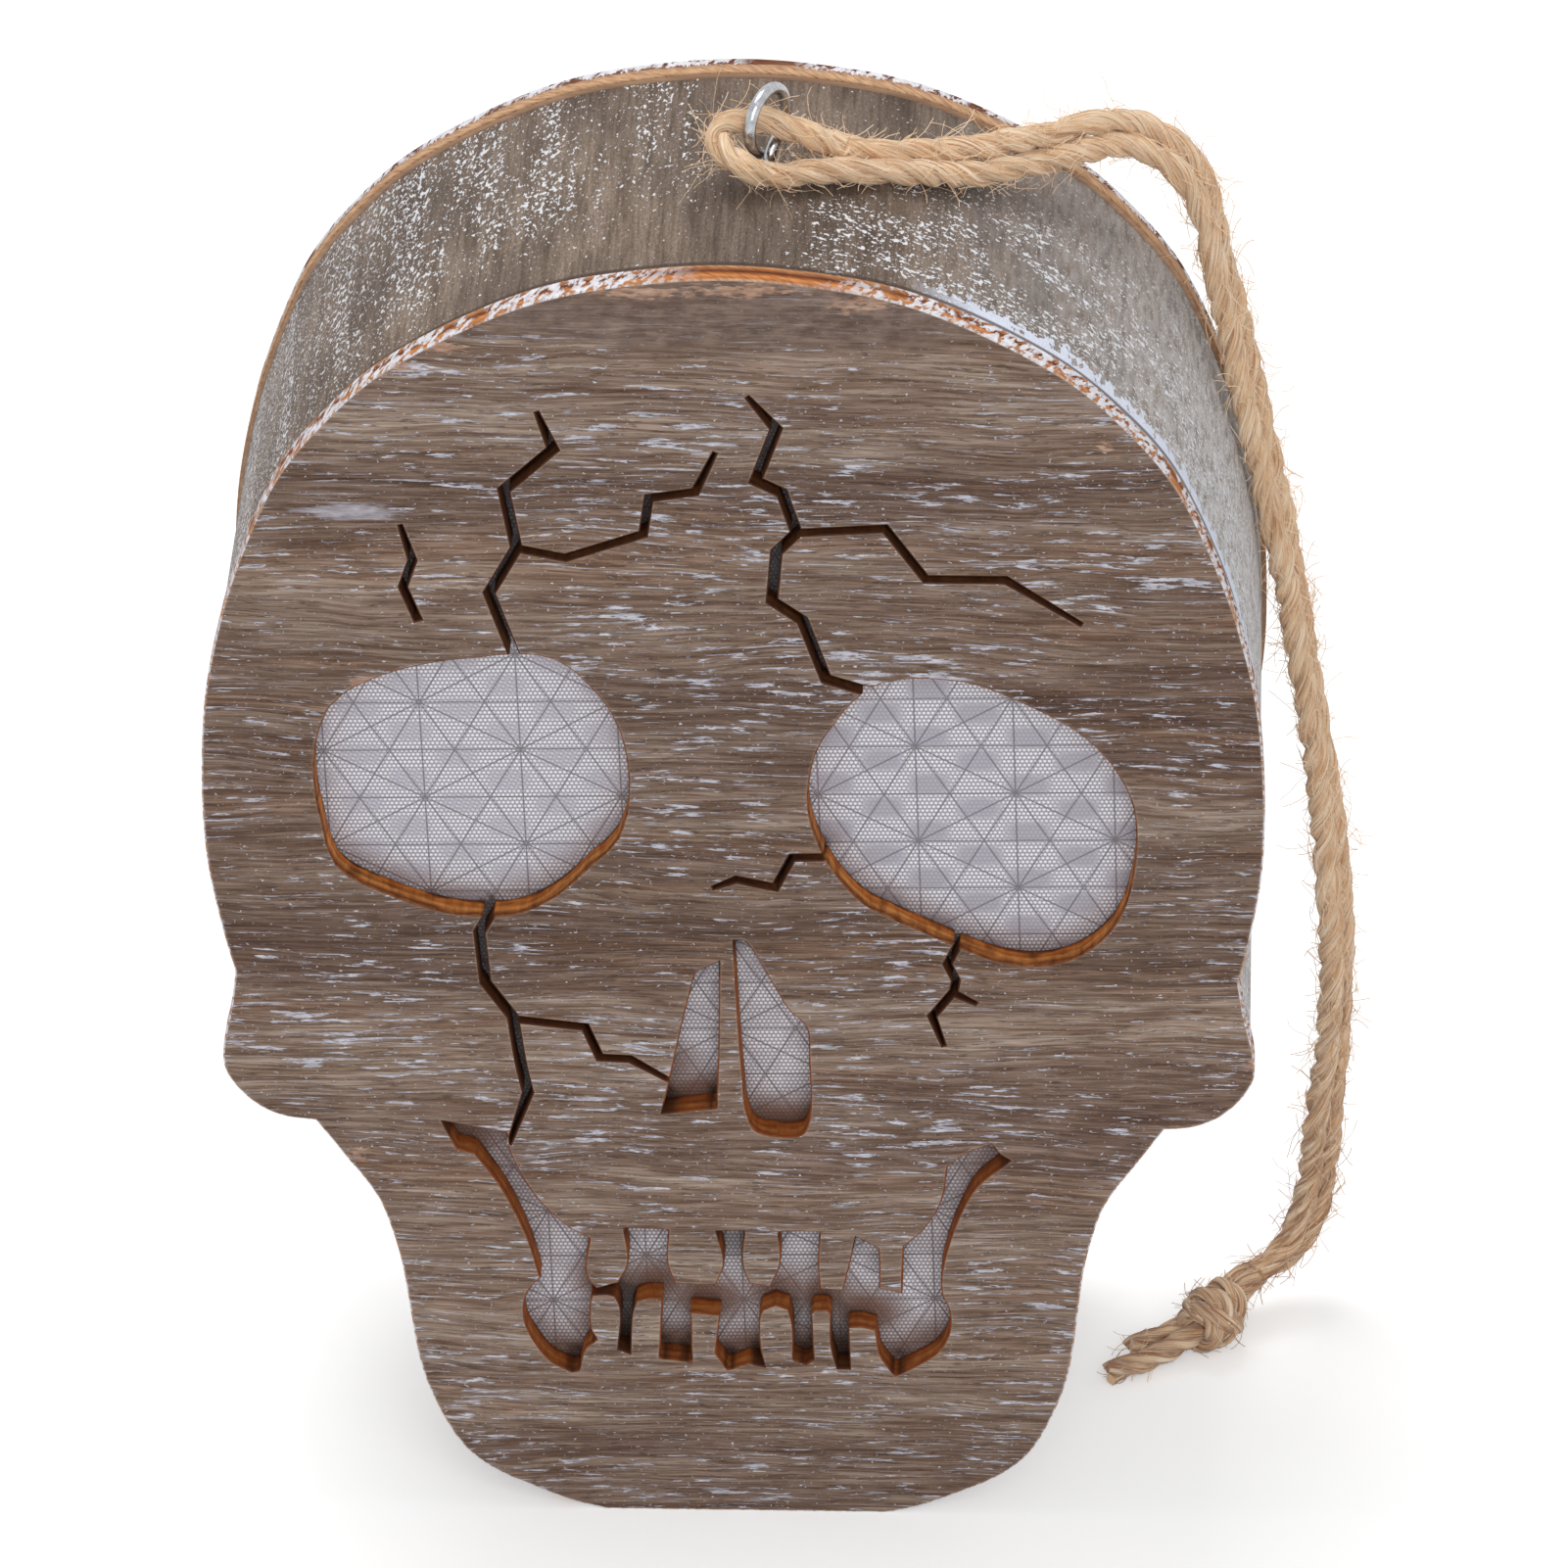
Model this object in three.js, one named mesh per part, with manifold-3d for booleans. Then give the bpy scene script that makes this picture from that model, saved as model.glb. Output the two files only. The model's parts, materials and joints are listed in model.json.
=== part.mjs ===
// A wooden skull lantern: two skull-shaped plates with a bent side band between them,
// a light film behind the cut-out face, a battery case let into the back, three lamps,
// and a doubled jute twine through an eye screw in the crown.
// Millimetres, +Z up, the face looks along -Y, origin under the middle of the foot.
import * as THREE from "three";
import * as BufferGeometryUtils from "three/addons/utils/BufferGeometryUtils.js";
import Module from "manifold-3d";

const wasm = await Module();
wasm.setup();

// Skull box
const skullWidth = 130;
const skullHeight = 183.5;
const boxDepth = 52.5;
const plateThickness = 3.4;
const bandThickness = 1.8;
const bandInset = 0.6;
const bandSeamGap = 0.4;
const glueGap = 0.3;
const cutOverrun = 1;
const filmThickness = 0.3;
const filmInset = 3.2;

// Cut-outs of the face
const leftEyeWidth = 38.4;
const leftEyeHeight = 38.5;
const rightEyeWidth = 40;
const rightEyeHeight = 42;
const leftNostrilWidth = 7.5;
const leftNostrilHeight = 23;
const rightNostrilWidth = 9.2;
const rightNostrilHeight = 29.4;
const mouthWidth = 70.8;
const mouthHeight = 38.7;
const crackWidth = 1.15;
const fineCrackWidth = 0.85;
const crackTipWidth = 0.4;

// Eye screw and the block that it bites into
const eyeScrewX = 4.5;
const eyeWireDiameter = 1.5;
const eyeRingRadius = 4;
const eyeRingRise = 7.1;
const eyeRingTurn = THREE.MathUtils.degToRad(60);
const eyeRingArcShare = 0.97;
const eyeShankLength = 18;
const eyeTipLength = 2.5;
const screwFit = 0.12;
const hangerBlockWidth = 20;
const hangerBlockDepth = 16;
const hangerBlockHeight = 12;

// Twine
const twineDiameter = 3;
const twinePairSpacing = 3.3;
const twineJointGap = 0.3;
const twineStep = 6.5;
const bightStep = 2;
const knotLength = 8.4;
const knotDiameter = 7.8;
const knotWrapRadius = 2.7;
const knotNeckLength = 3.2;
const knotWrapPlaceShare = 0.17;
const knotWrapTilt = THREE.MathUtils.degToRad(20);

// Battery case, moulded
const caseCentreZ = 92;
const caseWall = 2;
const caseFloor = 1.6;
const caseRecess = 0.2;
const windowFit = 0.4;
const seatGap = 0.3;
const cellDiameter = 14.5;
const cellLength = 50.5;
const cellPitch = 15.7;
const cellFit = 0.4;
const flangeWidth = 6;
const flangeThickness = 1.8;
const podHeight = 15;
const bossDiameter = 5.5;
const bossHeight = 2.5;

// Battery door
const doorThickness = 1.6;
const doorFit = 0.3;
const doorLedge = 1.2;
const doorBarrelRadius = 1.7;
const doorPinRadius = 1;
const doorPinFit = 0.15;
const doorPinLength = 1.5;
const doorTopLap = 1.4;
const latchWidth = 11;
const latchThickness = 1.2;
const latchLength = 3.2;
const gripRidgeWidth = 9;
const gripRidgeHeight = 0.9;
const gripRidgeRise = 0.2;
const gripRidgePitch = 2;
const gripRidgeCount = 4;
const thumbNotchWidth = 14;
const thumbNotchHeight = 4.5;
const thumbNotchDepth = 1.2;

// Battery contacts and springs
const contactThickness = 0.4;
const contactWidth = 9;
const contactHeight = 11;
const contactTabWidth = 3;
const contactTabReach = 3;
const springWire = 0.6;
const springLength = 4.8;
const springBaseRadius = 4;
const springTipRadius = 2.6;
const springTurns = 3;
const cellButtonRadius = 2.75;
const cellButtonHeight = 1;
const cellShoulder = 0.8;

// Slide switch
const switchX = 17;
const switchBodyWidth = 13;
const switchBodyHeight = 6.6;
const switchBodyDepth = 4.8;
const switchKnobWidth = 3.6;
const switchKnobHeight = 3;
const switchTravel = 4;
const switchSlotFit = 0.4;
const switchWellWidth = 17;
const switchWellHeight = 9;
const switchWellDepth = 2.6;
const switchPanel = 1.4;
const switchStemDepth = 1.4;
const switchPinLength = 3;
const switchPinWidth = 1.2;
const switchPinPitch = 4;

// Lamp board
const boardSideRoom = 3.1;
const boardHeight = 14;
const boardThickness = 1.6;
const boardRise = 4;
const lampEdgeRoom = 4;
const lampRadius = 2.5;
const lampRimRadius = 2.9;
const lampRimHeight = 1;
const lampHeight = 8.6;
const resistorRadius = 1.15;
const resistorLength = 6.3;
const resistorLead = 0.5;
const resistorSpan = 10;
const leadRadius = 0.6;
const leadStep = 4;
const leadReach = 8;

// Small screws
const caseScrewRadius = 1.1;
const caseScrewLength = 4.6;
const caseScrewHeadRadius = 2.3;
const caseScrewHeadHeight = 1.5;
const boardScrewRadius = 0.9;
const boardScrewLength = 5;
const boardScrewHeadRadius = 1.7;
const boardScrewHeadHeight = 1.1;
const screwHoleFit = 0.15;
const screwSides = 16;
const pilotDepth = 2.9;

// Outline of half the skull, from crown to chin, as shares of its half width and height
const crownShares = [
  [0, 1], [0.15, 0.996], [0.31, 0.985], [0.46, 0.963], [0.615, 0.93], [0.72, 0.896],
  [0.83, 0.845], [0.915, 0.774], [0.962, 0.715], [0.988, 0.664], [1, 0.6], [0.997, 0.544],
  [0.978, 0.494], [0.955, 0.452],
];
const cheekShares = [
  [0.955, 0.452], [0.966, 0.424], [0.986, 0.388], [0.978, 0.366], [0.931, 0.344],
  [0.875, 0.333], [0.815, 0.33],
];
const jawShares = [
  [0.815, 0.33], [0.755, 0.297], [0.698, 0.263], [0.662, 0.213], [0.646, 0.163], [0.625, 0.113],
  [0.569, 0.062], [0.505, 0.036], [0.423, 0.0196], [0.337, 0.006], [0.272, 0],
];

// Each cut-out has its place as shares of the skull and its outline as shares of its own size
const leftEyePlaceShares = [-0.245, 0.605];
const leftEyeShares = [
  [-0.5, 0.06], [-0.448, 0.286], [-0.318, 0.392], [-0.125, 0.46], [0.044, 0.486], [0.164, 0.499],
  [0.281, 0.48], [0.37, 0.4], [0.435, 0.309], [0.482, 0.19], [0.5, 0], [0.464, -0.19],
  [0.37, -0.3], [0.266, -0.408], [0.154, -0.478], [0.034, -0.5], [-0.138, -0.475],
  [-0.284, -0.416], [-0.383, -0.364], [-0.445, -0.304], [-0.482, -0.143],
];
const rightEyePlaceShares = [0.225, 0.579];
const rightEyeShares = [
  [-0.315, 0.462], [-0.215, 0.495], [-0.09, 0.498], [0.012, 0.481], [0.17, 0.412],
  [0.315, 0.326], [0.41, 0.231], [0.472, 0.124], [0.498, 0.03], [0.495, -0.155],
  [0.452, -0.324], [0.378, -0.424], [0.285, -0.483], [0.168, -0.5], [0.052, -0.476],
  [-0.055, -0.429], [-0.202, -0.357], [-0.33, -0.286], [-0.412, -0.19], [-0.46, -0.098],
  [-0.492, 0.005], [-0.498, 0.102], [-0.47, 0.245], [-0.415, 0.34],
];
const leftNostrilPlaceShares = [-0.045, 0.402];
const leftNostrilShares = [
  [0.11, 0.426], [0.5, 0.5], [0.46, -0.05], [0.4, -0.46], [-0.5, -0.5], [-0.353, -0.278],
  [-0.12, 0.1],
];
const rightNostrilPlaceShares = [0.034, 0.402];
const rightNostrilShares = [
  [-0.5, 0.5], [-0.37, 0.5], [-0.196, 0.415], [0.01, 0.279], [0.228, 0.143], [0.446, 0.065],
  [0.48, -0.12], [0.49, -0.344], [0.44, -0.45], [0.348, -0.497], [-0.24, -0.48],
  [-0.37, -0.381], [-0.413, -0.207], [-0.457, 0.075],
];
const mouthPlaceShares = [-0.013, 0.2245];
const mouthLeftWingShares = [
  [-0.5, 0.501], [-0.476, 0.395], [-0.444, 0.377], [-0.398, 0.235], [-0.356, 0.036],
  [-0.336, -0.121], [-0.36, -0.178], [-0.367, -0.23], [-0.366, -0.302], [-0.35, -0.38],
  [-0.321, -0.46], [-0.285, -0.499], [-0.274, -0.494], [-0.261, -0.406], [-0.24, -0.367],
];
const lowerTeethShares = [
  [-0.25, -0.326], [-0.25, -0.227], [-0.246, -0.186], [-0.218, -0.181], [-0.205, -0.189],
  [-0.196, -0.225], [-0.194, -0.276], [-0.201, -0.406], [-0.181, -0.421], [-0.175, -0.253],
  [-0.167, -0.209], [-0.145, -0.196], [-0.119, -0.196], [-0.127, -0.439], [-0.071, -0.452],
  [-0.071, -0.251], [-0.044, -0.256], [-0.017, -0.261], [-0.027, -0.416], [-0.006, -0.483],
  [0.032, -0.455], [0.059, -0.468], [0.052, -0.39], [0.052, -0.269], [0.058, -0.238],
  [0.081, -0.217], [0.105, -0.235], [0.112, -0.295], [0.112, -0.439], [0.134, -0.457],
  [0.147, -0.439], [0.144, -0.251], [0.151, -0.235], [0.174, -0.235], [0.181, -0.251],
  [0.181, -0.385], [0.191, -0.473], [0.212, -0.473], [0.21, -0.305], [0.229, -0.3],
  [0.26, -0.313], [0.268, -0.416], [0.281, -0.463],
];
const mouthRightWingShares = [
  [0.294, -0.499], [0.329, -0.46], [0.369, -0.403], [0.39, -0.323], [0.391, -0.235],
  [0.379, -0.173], [0.377, -0.101], [0.394, 0.057], [0.425, 0.214], [0.445, 0.276],
  [0.479, 0.336], [0.5, 0.372], [0.483, 0.395], [0.468, 0.434], [0.427, 0.401],
  [0.391, 0.346], [0.379, 0.204], [0.347, 0.09], [0.312, 0.023], [0.309, -0.088],
];
const upperTeethShares = [
  [0.308, -0.168], [0.266, -0.147], [0.267, -0.047], [0.266, 0.013], [0.227, 0.057],
  [0.216, -0.047], [0.203, -0.158], [0.161, -0.152], [0.158, -0.049], [0.162, 0.078],
  [0.09, 0.075], [0.092, -0.052], [0.073, -0.147], [0.035, -0.134], [0.023, -0.052],
  [0.028, 0.078], [-0.02, 0.075], [-0.008, -0.054], [-0.024, -0.142], [-0.097, -0.14],
  [-0.11, -0.057], [-0.107, 0.078], [-0.184, 0.083], [-0.179, -0.059], [-0.198, -0.137],
  [-0.237, -0.163], [-0.249, -0.132], [-0.256, -0.085], [-0.247, 0.039], [-0.281, 0.08],
  [-0.315, 0.142], [-0.347, 0.227], [-0.374, 0.333], [-0.386, 0.403], [-0.388, 0.46],
  [-0.452, 0.483],
];

// Cracks run from their open tip to the hole or crack that they reach, as shares of the skull
const crackShares = [
  [[-0.172, 0.898], [-0.158, 0.87], [-0.205, 0.838], [-0.195, 0.793], [-0.222, 0.758], [-0.198, 0.704]],
  [[0.022, 0.911], [0.048, 0.887], [0.028, 0.847], [0.052, 0.838], [0.065, 0.807], [0.046, 0.792],
    [0.041, 0.754], [0.069, 0.739], [0.09, 0.693], [0.14, 0.681]],
  [[-0.222, 0.312], [-0.202, 0.355], [-0.208, 0.38], [-0.214, 0.418], [-0.239, 0.446],
    [-0.243, 0.487], [-0.229, 0.506]],
];
const fineCrackShares = [
  [[-0.009, 0.868], [-0.028, 0.838], [-0.071, 0.833], [-0.077, 0.805], [-0.15, 0.786], [-0.195, 0.793]],
  [[-0.302, 0.81], [-0.292, 0.783], [-0.302, 0.762], [-0.289, 0.736]],
  [[0.328, 0.738], [0.258, 0.772], [0.184, 0.772], [0.147, 0.811], [0.065, 0.807]],
  [[-0.02, 0.525], [0.002, 0.532], [0.039, 0.526], [0.055, 0.55], [0.093, 0.551]],
  [[0.197, 0.398], [0.186, 0.422], [0.207, 0.443], [0.209, 0.452], [0.201, 0.465], [0.214, 0.486]],
  [[0.228, 0.433], [0.205, 0.442]],
  [[-0.06, 0.364], [-0.103, 0.384], [-0.132, 0.385], [-0.145, 0.41], [-0.214, 0.416]],
];

// Route of the twine: each strand by itself near the eye screw, then the middle of the pair,
// with the turn of the pair about its own line in degrees
const frontLeadRoute = [
  [29.1, 6.3, 179.1], [23.9, 3, 181], [18.7, 0.8, 182.6], [13.5, -1.2, 183.9],
  [9.2, -3, 184.5], [5.2, -4.7, 185.2],
];
const bightRoute = [
  [1.9, -5.6, 187], [-0.4, -4.9, 188.2], [-1.5, -3.1, 189.3], [-0.2, -1.1, 190],
  [3.9, -0.1, 190.1], [8.9, 0.5, 187.9],
];
const rearLeadRoute = [
  [13.5, 2.4, 184.9], [18.7, 4, 183.3], [23.9, 6.2, 182.1], [29.1, 9.3, 181],
];
const pairRoute = [
  [34.3, 11, 179.3, 42], [39, 14.5, 178.3, 44], [43.7, 18, 177.9, 46], [48.1, 20.3, 176.6, 50],
  [52.3, 21.2, 173.9, 57], [55.5, 21.2, 170, 66], [57.3, 20.9, 164.8, 76], [58.4, 20.4, 159.4, 76],
  [60, 19.6, 152.4, 72], [61.9, 18.7, 143.7, 67], [64.4, 18, 131.8, 67], [67, 17, 119.5, 73],
  [69.2, 16.5, 106.2, 79], [71.2, 16.5, 93, 77], [72.8, 16.5, 81.2, 68], [74, 17, 68.8, 62],
  [74.5, 18, 56, 64], [74.3, 19.5, 44.2, 62], [73.4, 21, 32.3, 54], [72.6, 22, 21.4, 47],
  [71.4, 22, 13.5, 40], [69.2, 20.6, 8.8, 44], [64.6, 17.6, 6.4, 66],
];
const knotPlace = [59, 10.4, 4.6];
const upperTailRoute = [[57.4, 9.8, 3.9], [54.2, 9.9, 2.7], [51.2, 8.7, 1.9], [48.4, 7, 1.7]];
const lowerTailRoute = [[57.2, 8.6, 3.7], [53.6, 6.4, 2.4], [49.6, 4, 1.8], [45.6, 2, 1.7]];

// Looks of the plain solids
const limedWood = new THREE.MeshStandardMaterial({ color: 0x7b6d62, roughness: 0.8, metalness: 0 });
const greyWood = new THREE.MeshStandardMaterial({ color: 0x726b60, roughness: 0.85, metalness: 0 });
const bareWood = new THREE.MeshStandardMaterial({ color: 0xc39a6b, roughness: 0.8, metalness: 0 });
const film = new THREE.MeshStandardMaterial({ color: 0xc9c8d6, roughness: 0.35, metalness: 0 });
const nickelSteel = new THREE.MeshStandardMaterial({ color: 0xb9bcc0, roughness: 0.25, metalness: 1 });
const brass = new THREE.MeshStandardMaterial({ color: 0xc8a24e, roughness: 0.35, metalness: 1 });
const jute = new THREE.MeshStandardMaterial({ color: 0xb8895c, roughness: 0.95, metalness: 0 });
const blackPlastic = new THREE.MeshStandardMaterial({ color: 0x222222, roughness: 0.5, metalness: 0 });
const greenBoard = new THREE.MeshStandardMaterial({ color: 0x2f6b45, roughness: 0.5, metalness: 0 });
const lampResin = new THREE.MeshStandardMaterial({ color: 0xf1e3b8, roughness: 0.15, metalness: 0 });
const cellSleeve = new THREE.MeshStandardMaterial({ color: 0x3c5a86, roughness: 0.35, metalness: 0.2 });
const tanCeramic = new THREE.MeshStandardMaterial({ color: 0xcdb38a, roughness: 0.6, metalness: 0 });
const redSleeve = new THREE.MeshStandardMaterial({ color: 0xa6211c, roughness: 0.5, metalness: 0 });
const blackSleeve = new THREE.MeshStandardMaterial({ color: 0x1a1a1a, roughness: 0.5, metalness: 0 });

// Solids from geometries and back
function toSolid(geometry) {
  const bare = geometry.clone();
  bare.deleteAttribute("normal");
  bare.deleteAttribute("uv");
  const merged = BufferGeometryUtils.mergeVertices(bare);
  const vertProperties = Float32Array.from(merged.attributes.position.array);
  const triVerts = Uint32Array.from(merged.index.array);
  return new wasm.Manifold(new wasm.Mesh({ numProp: 3, vertProperties, triVerts }));
}

function toGeometry(solid) {
  const shape = solid.getMesh();
  const geometry = new THREE.BufferGeometry();
  geometry.setAttribute("position", new THREE.BufferAttribute(shape.vertProperties, 3));
  geometry.setIndex(new THREE.BufferAttribute(shape.triVerts, 1));
  return geometry;
}

function cut(body, cutters) {
  return cutters.reduce((solid, cutter) => solid.subtract(cutter), body);
}

function join(solids) {
  return solids.slice(1).reduce((whole, solid) => whole.add(solid), solids[0]);
}

function block(lowX, highX, lowY, highY, lowZ, highZ) {
  const geometry = new THREE.BoxGeometry(highX - lowX, highY - lowY, highZ - lowZ);
  geometry.translate((lowX + highX) / 2, (lowY + highY) / 2, (lowZ + highZ) / 2);
  return toSolid(geometry);
}

function rod(radius, start, end, sides) {
  const along = new THREE.Vector3().subVectors(end, start);
  const geometry = new THREE.CylinderGeometry(radius, radius, along.length(), sides);
  const cylinderAxis = new THREE.Vector3(0, 1, 0);
  const turn = new THREE.Quaternion().setFromUnitVectors(cylinderAxis, along.clone().normalize());
  geometry.applyQuaternion(turn);
  geometry.translate((start.x + end.x) / 2, (start.y + end.y) / 2, (start.z + end.z) / 2);
  return toSolid(geometry);
}

// A flat outline in X and Z made solid from lowY to highY
function plate(outline, lowY, highY) {
  const geometry = new THREE.ExtrudeGeometry(new THREE.Shape(outline), {
    depth: highY - lowY,
    bevelEnabled: false,
  });
  geometry.rotateX(Math.PI / 2);
  geometry.translate(0, highY, 0);
  return toSolid(geometry);
}

// A turned profile of radius and height points, stood along the direction at the place
function turned(profile, place, direction, sides) {
  const geometry = new THREE.LatheGeometry(profile, sides);
  geometry.applyQuaternion(new THREE.Quaternion().setFromUnitVectors(new THREE.Vector3(0, 1, 0), direction));
  geometry.translate(place.x, place.y, place.z);
  return toSolid(geometry);
}

function roundSection(radius, sides) {
  const points = [];
  for (let i = 0; i < sides; i += 1) {
    const angle = (i / sides) * Math.PI * 2;
    points.push(new THREE.Vector2(radius * Math.cos(angle), radius * Math.sin(angle)));
  }
  return new THREE.Shape(points);
}

function tube(curve, radius, sides, steps) {
  const geometry = new THREE.ExtrudeGeometry(roundSection(radius, sides), { steps, extrudePath: curve });
  return toSolid(geometry);
}

const lantern = new THREE.Group();

function addPiece(name, solid, material) {
  const mesh = new THREE.Mesh(toGeometry(solid), material);
  mesh.name = name;
  lantern.add(mesh);
}

const vector = (x, y, z) => new THREE.Vector3(x, y, z);
const towardFace = vector(0, -1, 0);
const towardRear = vector(0, 1, 0);

// Outlines of the skull
const faceY = -boxDepth / 2;
const faceBackY = faceY + plateThickness;
const rearY = boxDepth / 2;
const rearPlateY = rearY - plateThickness;

function skullPoints(shares, side, steps) {
  const points = shares.map(([across, up]) => (
    new THREE.Vector2(side * across * skullWidth / 2, up * skullHeight)
  ));
  return new THREE.SplineCurve(points).getPoints(steps);
}

function sideBelowCrown(side) {
  return [...skullPoints(cheekShares, side, 14), ...skullPoints(jawShares, side, 20).slice(1)];
}

// Clockwise as seen from the front: over the crown, down the right side, up the left
function skullOutline() {
  const leftCrownShares = crownShares.slice(1).reverse().map(([across, up]) => [-across, up]);
  const crown = skullPoints([...leftCrownShares, ...crownShares], 1, 60);
  return [...crown, ...sideBelowCrown(1).slice(1), ...sideBelowCrown(-1).reverse().slice(0, -1)];
}

// The outline drawn in by a distance, square to its edges
function drawnIn(outline, distance) {
  return outline.map((point, i) => {
    const before = outline[(i + outline.length - 1) % outline.length];
    const after = outline[(i + 1) % outline.length];
    const first = new THREE.Vector2().subVectors(point, before).normalize();
    const second = new THREE.Vector2().subVectors(after, point).normalize();
    const firstIn = new THREE.Vector2(first.y, -first.x);
    const secondIn = new THREE.Vector2(second.y, -second.x);
    const mitre = firstIn.clone().add(secondIn).divideScalar(1 + firstIn.dot(secondIn));
    return point.clone().addScaledVector(mitre, distance);
  });
}

const outline = skullOutline();

// Cut-outs of the face
function placedShares(shares, place, width, height) {
  return shares.map(([across, up]) => new THREE.Vector2(
    place[0] * skullWidth + across * width,
    place[1] * skullHeight + up * height,
  ));
}

function smoothLoop(points, steps) {
  const loop = new THREE.CatmullRomCurve3(points.map((p) => vector(p.x, p.y, 0)), true, "centripetal");
  return loop.getPoints(steps).slice(0, -1).map((p) => new THREE.Vector2(p.x, p.y));
}

function throughFace(points) {
  return plate(points, faceY - cutOverrun, faceBackY + cutOverrun);
}

// A line given a width, with mitred bends and a narrower open tip
function strokeOutline(line, width, tipWidth) {
  const out = line.slice(1).map((point, i) => {
    const along = new THREE.Vector2().subVectors(point, line[i]).normalize();
    return new THREE.Vector2(-along.y, along.x);
  });
  const spread = line.map((point, i) => {
    const first = out[Math.max(i - 1, 0)];
    const second = out[Math.min(i, out.length - 1)];
    const mitre = first.clone().add(second).divideScalar(1 + first.dot(second));
    return mitre.multiplyScalar((i === 0 ? tipWidth : width) / 2);
  });
  const leftSide = line.map((point, i) => point.clone().add(spread[i]));
  const rightSide = line.map((point, i) => point.clone().sub(spread[i]));
  return [...leftSide, ...rightSide.reverse()];
}

function crackCutter(shares, width) {
  const line = shares.map(([x, z]) => new THREE.Vector2(x * skullWidth, z * skullHeight));
  return throughFace(strokeOutline(line, width, crackTipWidth));
}

const mouthShares = [
  ...mouthLeftWingShares, ...lowerTeethShares, ...mouthRightWingShares, ...upperTeethShares,
];
const leftEye = placedShares(leftEyeShares, leftEyePlaceShares, leftEyeWidth, leftEyeHeight);
const rightEye = placedShares(rightEyeShares, rightEyePlaceShares, rightEyeWidth, rightEyeHeight);
const faceCutters = [
  throughFace(smoothLoop(leftEye, 42)),
  throughFace(smoothLoop(rightEye, 44)),
  throughFace(placedShares(
    leftNostrilShares, leftNostrilPlaceShares, leftNostrilWidth, leftNostrilHeight,
  )),
  throughFace(placedShares(
    rightNostrilShares, rightNostrilPlaceShares, rightNostrilWidth, rightNostrilHeight,
  )),
  throughFace(placedShares(mouthShares, mouthPlaceShares, mouthWidth, mouthHeight)),
  ...crackShares.map((shares) => crackCutter(shares, crackWidth)),
  ...fineCrackShares.map((shares) => crackCutter(shares, fineCrackWidth)),
];
addPiece("front_plate", cut(plate(outline, faceY, faceBackY), faceCutters), limedWood);

const filmY = faceBackY + glueGap;
addPiece("diffuser_film", plate(drawnIn(outline, filmInset), filmY, filmY + filmThickness), film);

// Side band, bent round between the plates, with its seam under the chin
const bandOuter = drawnIn(outline, bandInset);
const bandInner = drawnIn(outline, bandInset + bandThickness);
const bandLowY = faceBackY + glueGap;
const bandHighY = rearPlateY - glueGap;
const crownZ = skullHeight - bandInset;
const eyeShankRadius = eyeWireDiameter / 2;
const eyeShankEnd = crownZ + eyeRingRise - eyeRingRadius - eyeShankLength;
const shankHole = rod(
  eyeShankRadius + screwFit,
  vector(eyeScrewX, 0, eyeShankEnd - cutOverrun),
  vector(eyeScrewX, 0, crownZ + cutOverrun),
  screwSides,
);
const bandSeam = block(-bandSeamGap / 2, bandSeamGap / 2, bandLowY - cutOverrun, bandHighY + cutOverrun,
  -cutOverrun, bandInset + bandThickness + cutOverrun);
addPiece("side_band", cut(plate(bandOuter, bandLowY, bandHighY), [
  plate(bandInner, bandLowY - cutOverrun, bandHighY + cutOverrun),
  shankHole,
  bandSeam,
]), greyWood);

// Pine block glued under the crown of the band
const blockTop = crownZ - bandThickness;
const hangerBlock = block(
  eyeScrewX - hangerBlockWidth / 2, eyeScrewX + hangerBlockWidth / 2,
  -hangerBlockDepth / 2, hangerBlockDepth / 2,
  blockTop - hangerBlockHeight, blockTop + cutOverrun,
).intersect(plate(drawnIn(outline, bandInset + bandThickness + glueGap), bandLowY, bandHighY));
addPiece("hanger_block", cut(hangerBlock, [shankHole]), bareWood);

// Eye screw: a wire ring on a pointed shank
class WireRing extends THREE.Curve {
  getPoint(t, target = new THREE.Vector3()) {
    const angle = -Math.PI / 2 + t * Math.PI * 2 * eyeRingArcShare;
    const across = eyeRingRadius * Math.cos(angle);
    return target.set(
      eyeScrewX + across * Math.cos(eyeRingTurn),
      across * Math.sin(eyeRingTurn),
      crownZ + eyeRingRise + eyeRingRadius * Math.sin(angle),
    );
  }
}
const shankTop = crownZ + eyeRingRise - eyeRingRadius + eyeShankRadius / 2;
const shankProfile = [
  new THREE.Vector2(0, eyeShankEnd),
  new THREE.Vector2(eyeShankRadius, eyeShankEnd + eyeTipLength),
  new THREE.Vector2(eyeShankRadius, shankTop),
  new THREE.Vector2(0, shankTop),
];
const shank = new THREE.LatheGeometry(shankProfile, screwSides);
shank.rotateX(Math.PI / 2);
shank.translate(eyeScrewX, 0, 0);
addPiece("eye_screw", join([tube(new WireRing(), eyeShankRadius, 10, 36), toSolid(shank)]), nickelSteel);

// Twine: one length from the knot, up the front strand, through the ring and back
const twineRadius = twineDiameter / 2;
const pairCurve = new THREE.CatmullRomCurve3(pairRoute.map(([x, y, z]) => vector(x, y, z)));

function pairStrand(side) {
  return pairRoute.map(([x, y, z, turn], i) => {
    const along = pairCurve.getTangent(i / (pairRoute.length - 1));
    const outward = new THREE.Vector3().crossVectors(along, towardRear).normalize();
    const rearward = new THREE.Vector3().crossVectors(outward, along);
    const angle = THREE.MathUtils.degToRad(turn);
    const reach = side * twinePairSpacing / 2;
    return vector(x, y, z)
      .addScaledVector(outward, reach * Math.cos(angle))
      .addScaledVector(rearward, reach * Math.sin(angle));
  });
}

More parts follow.
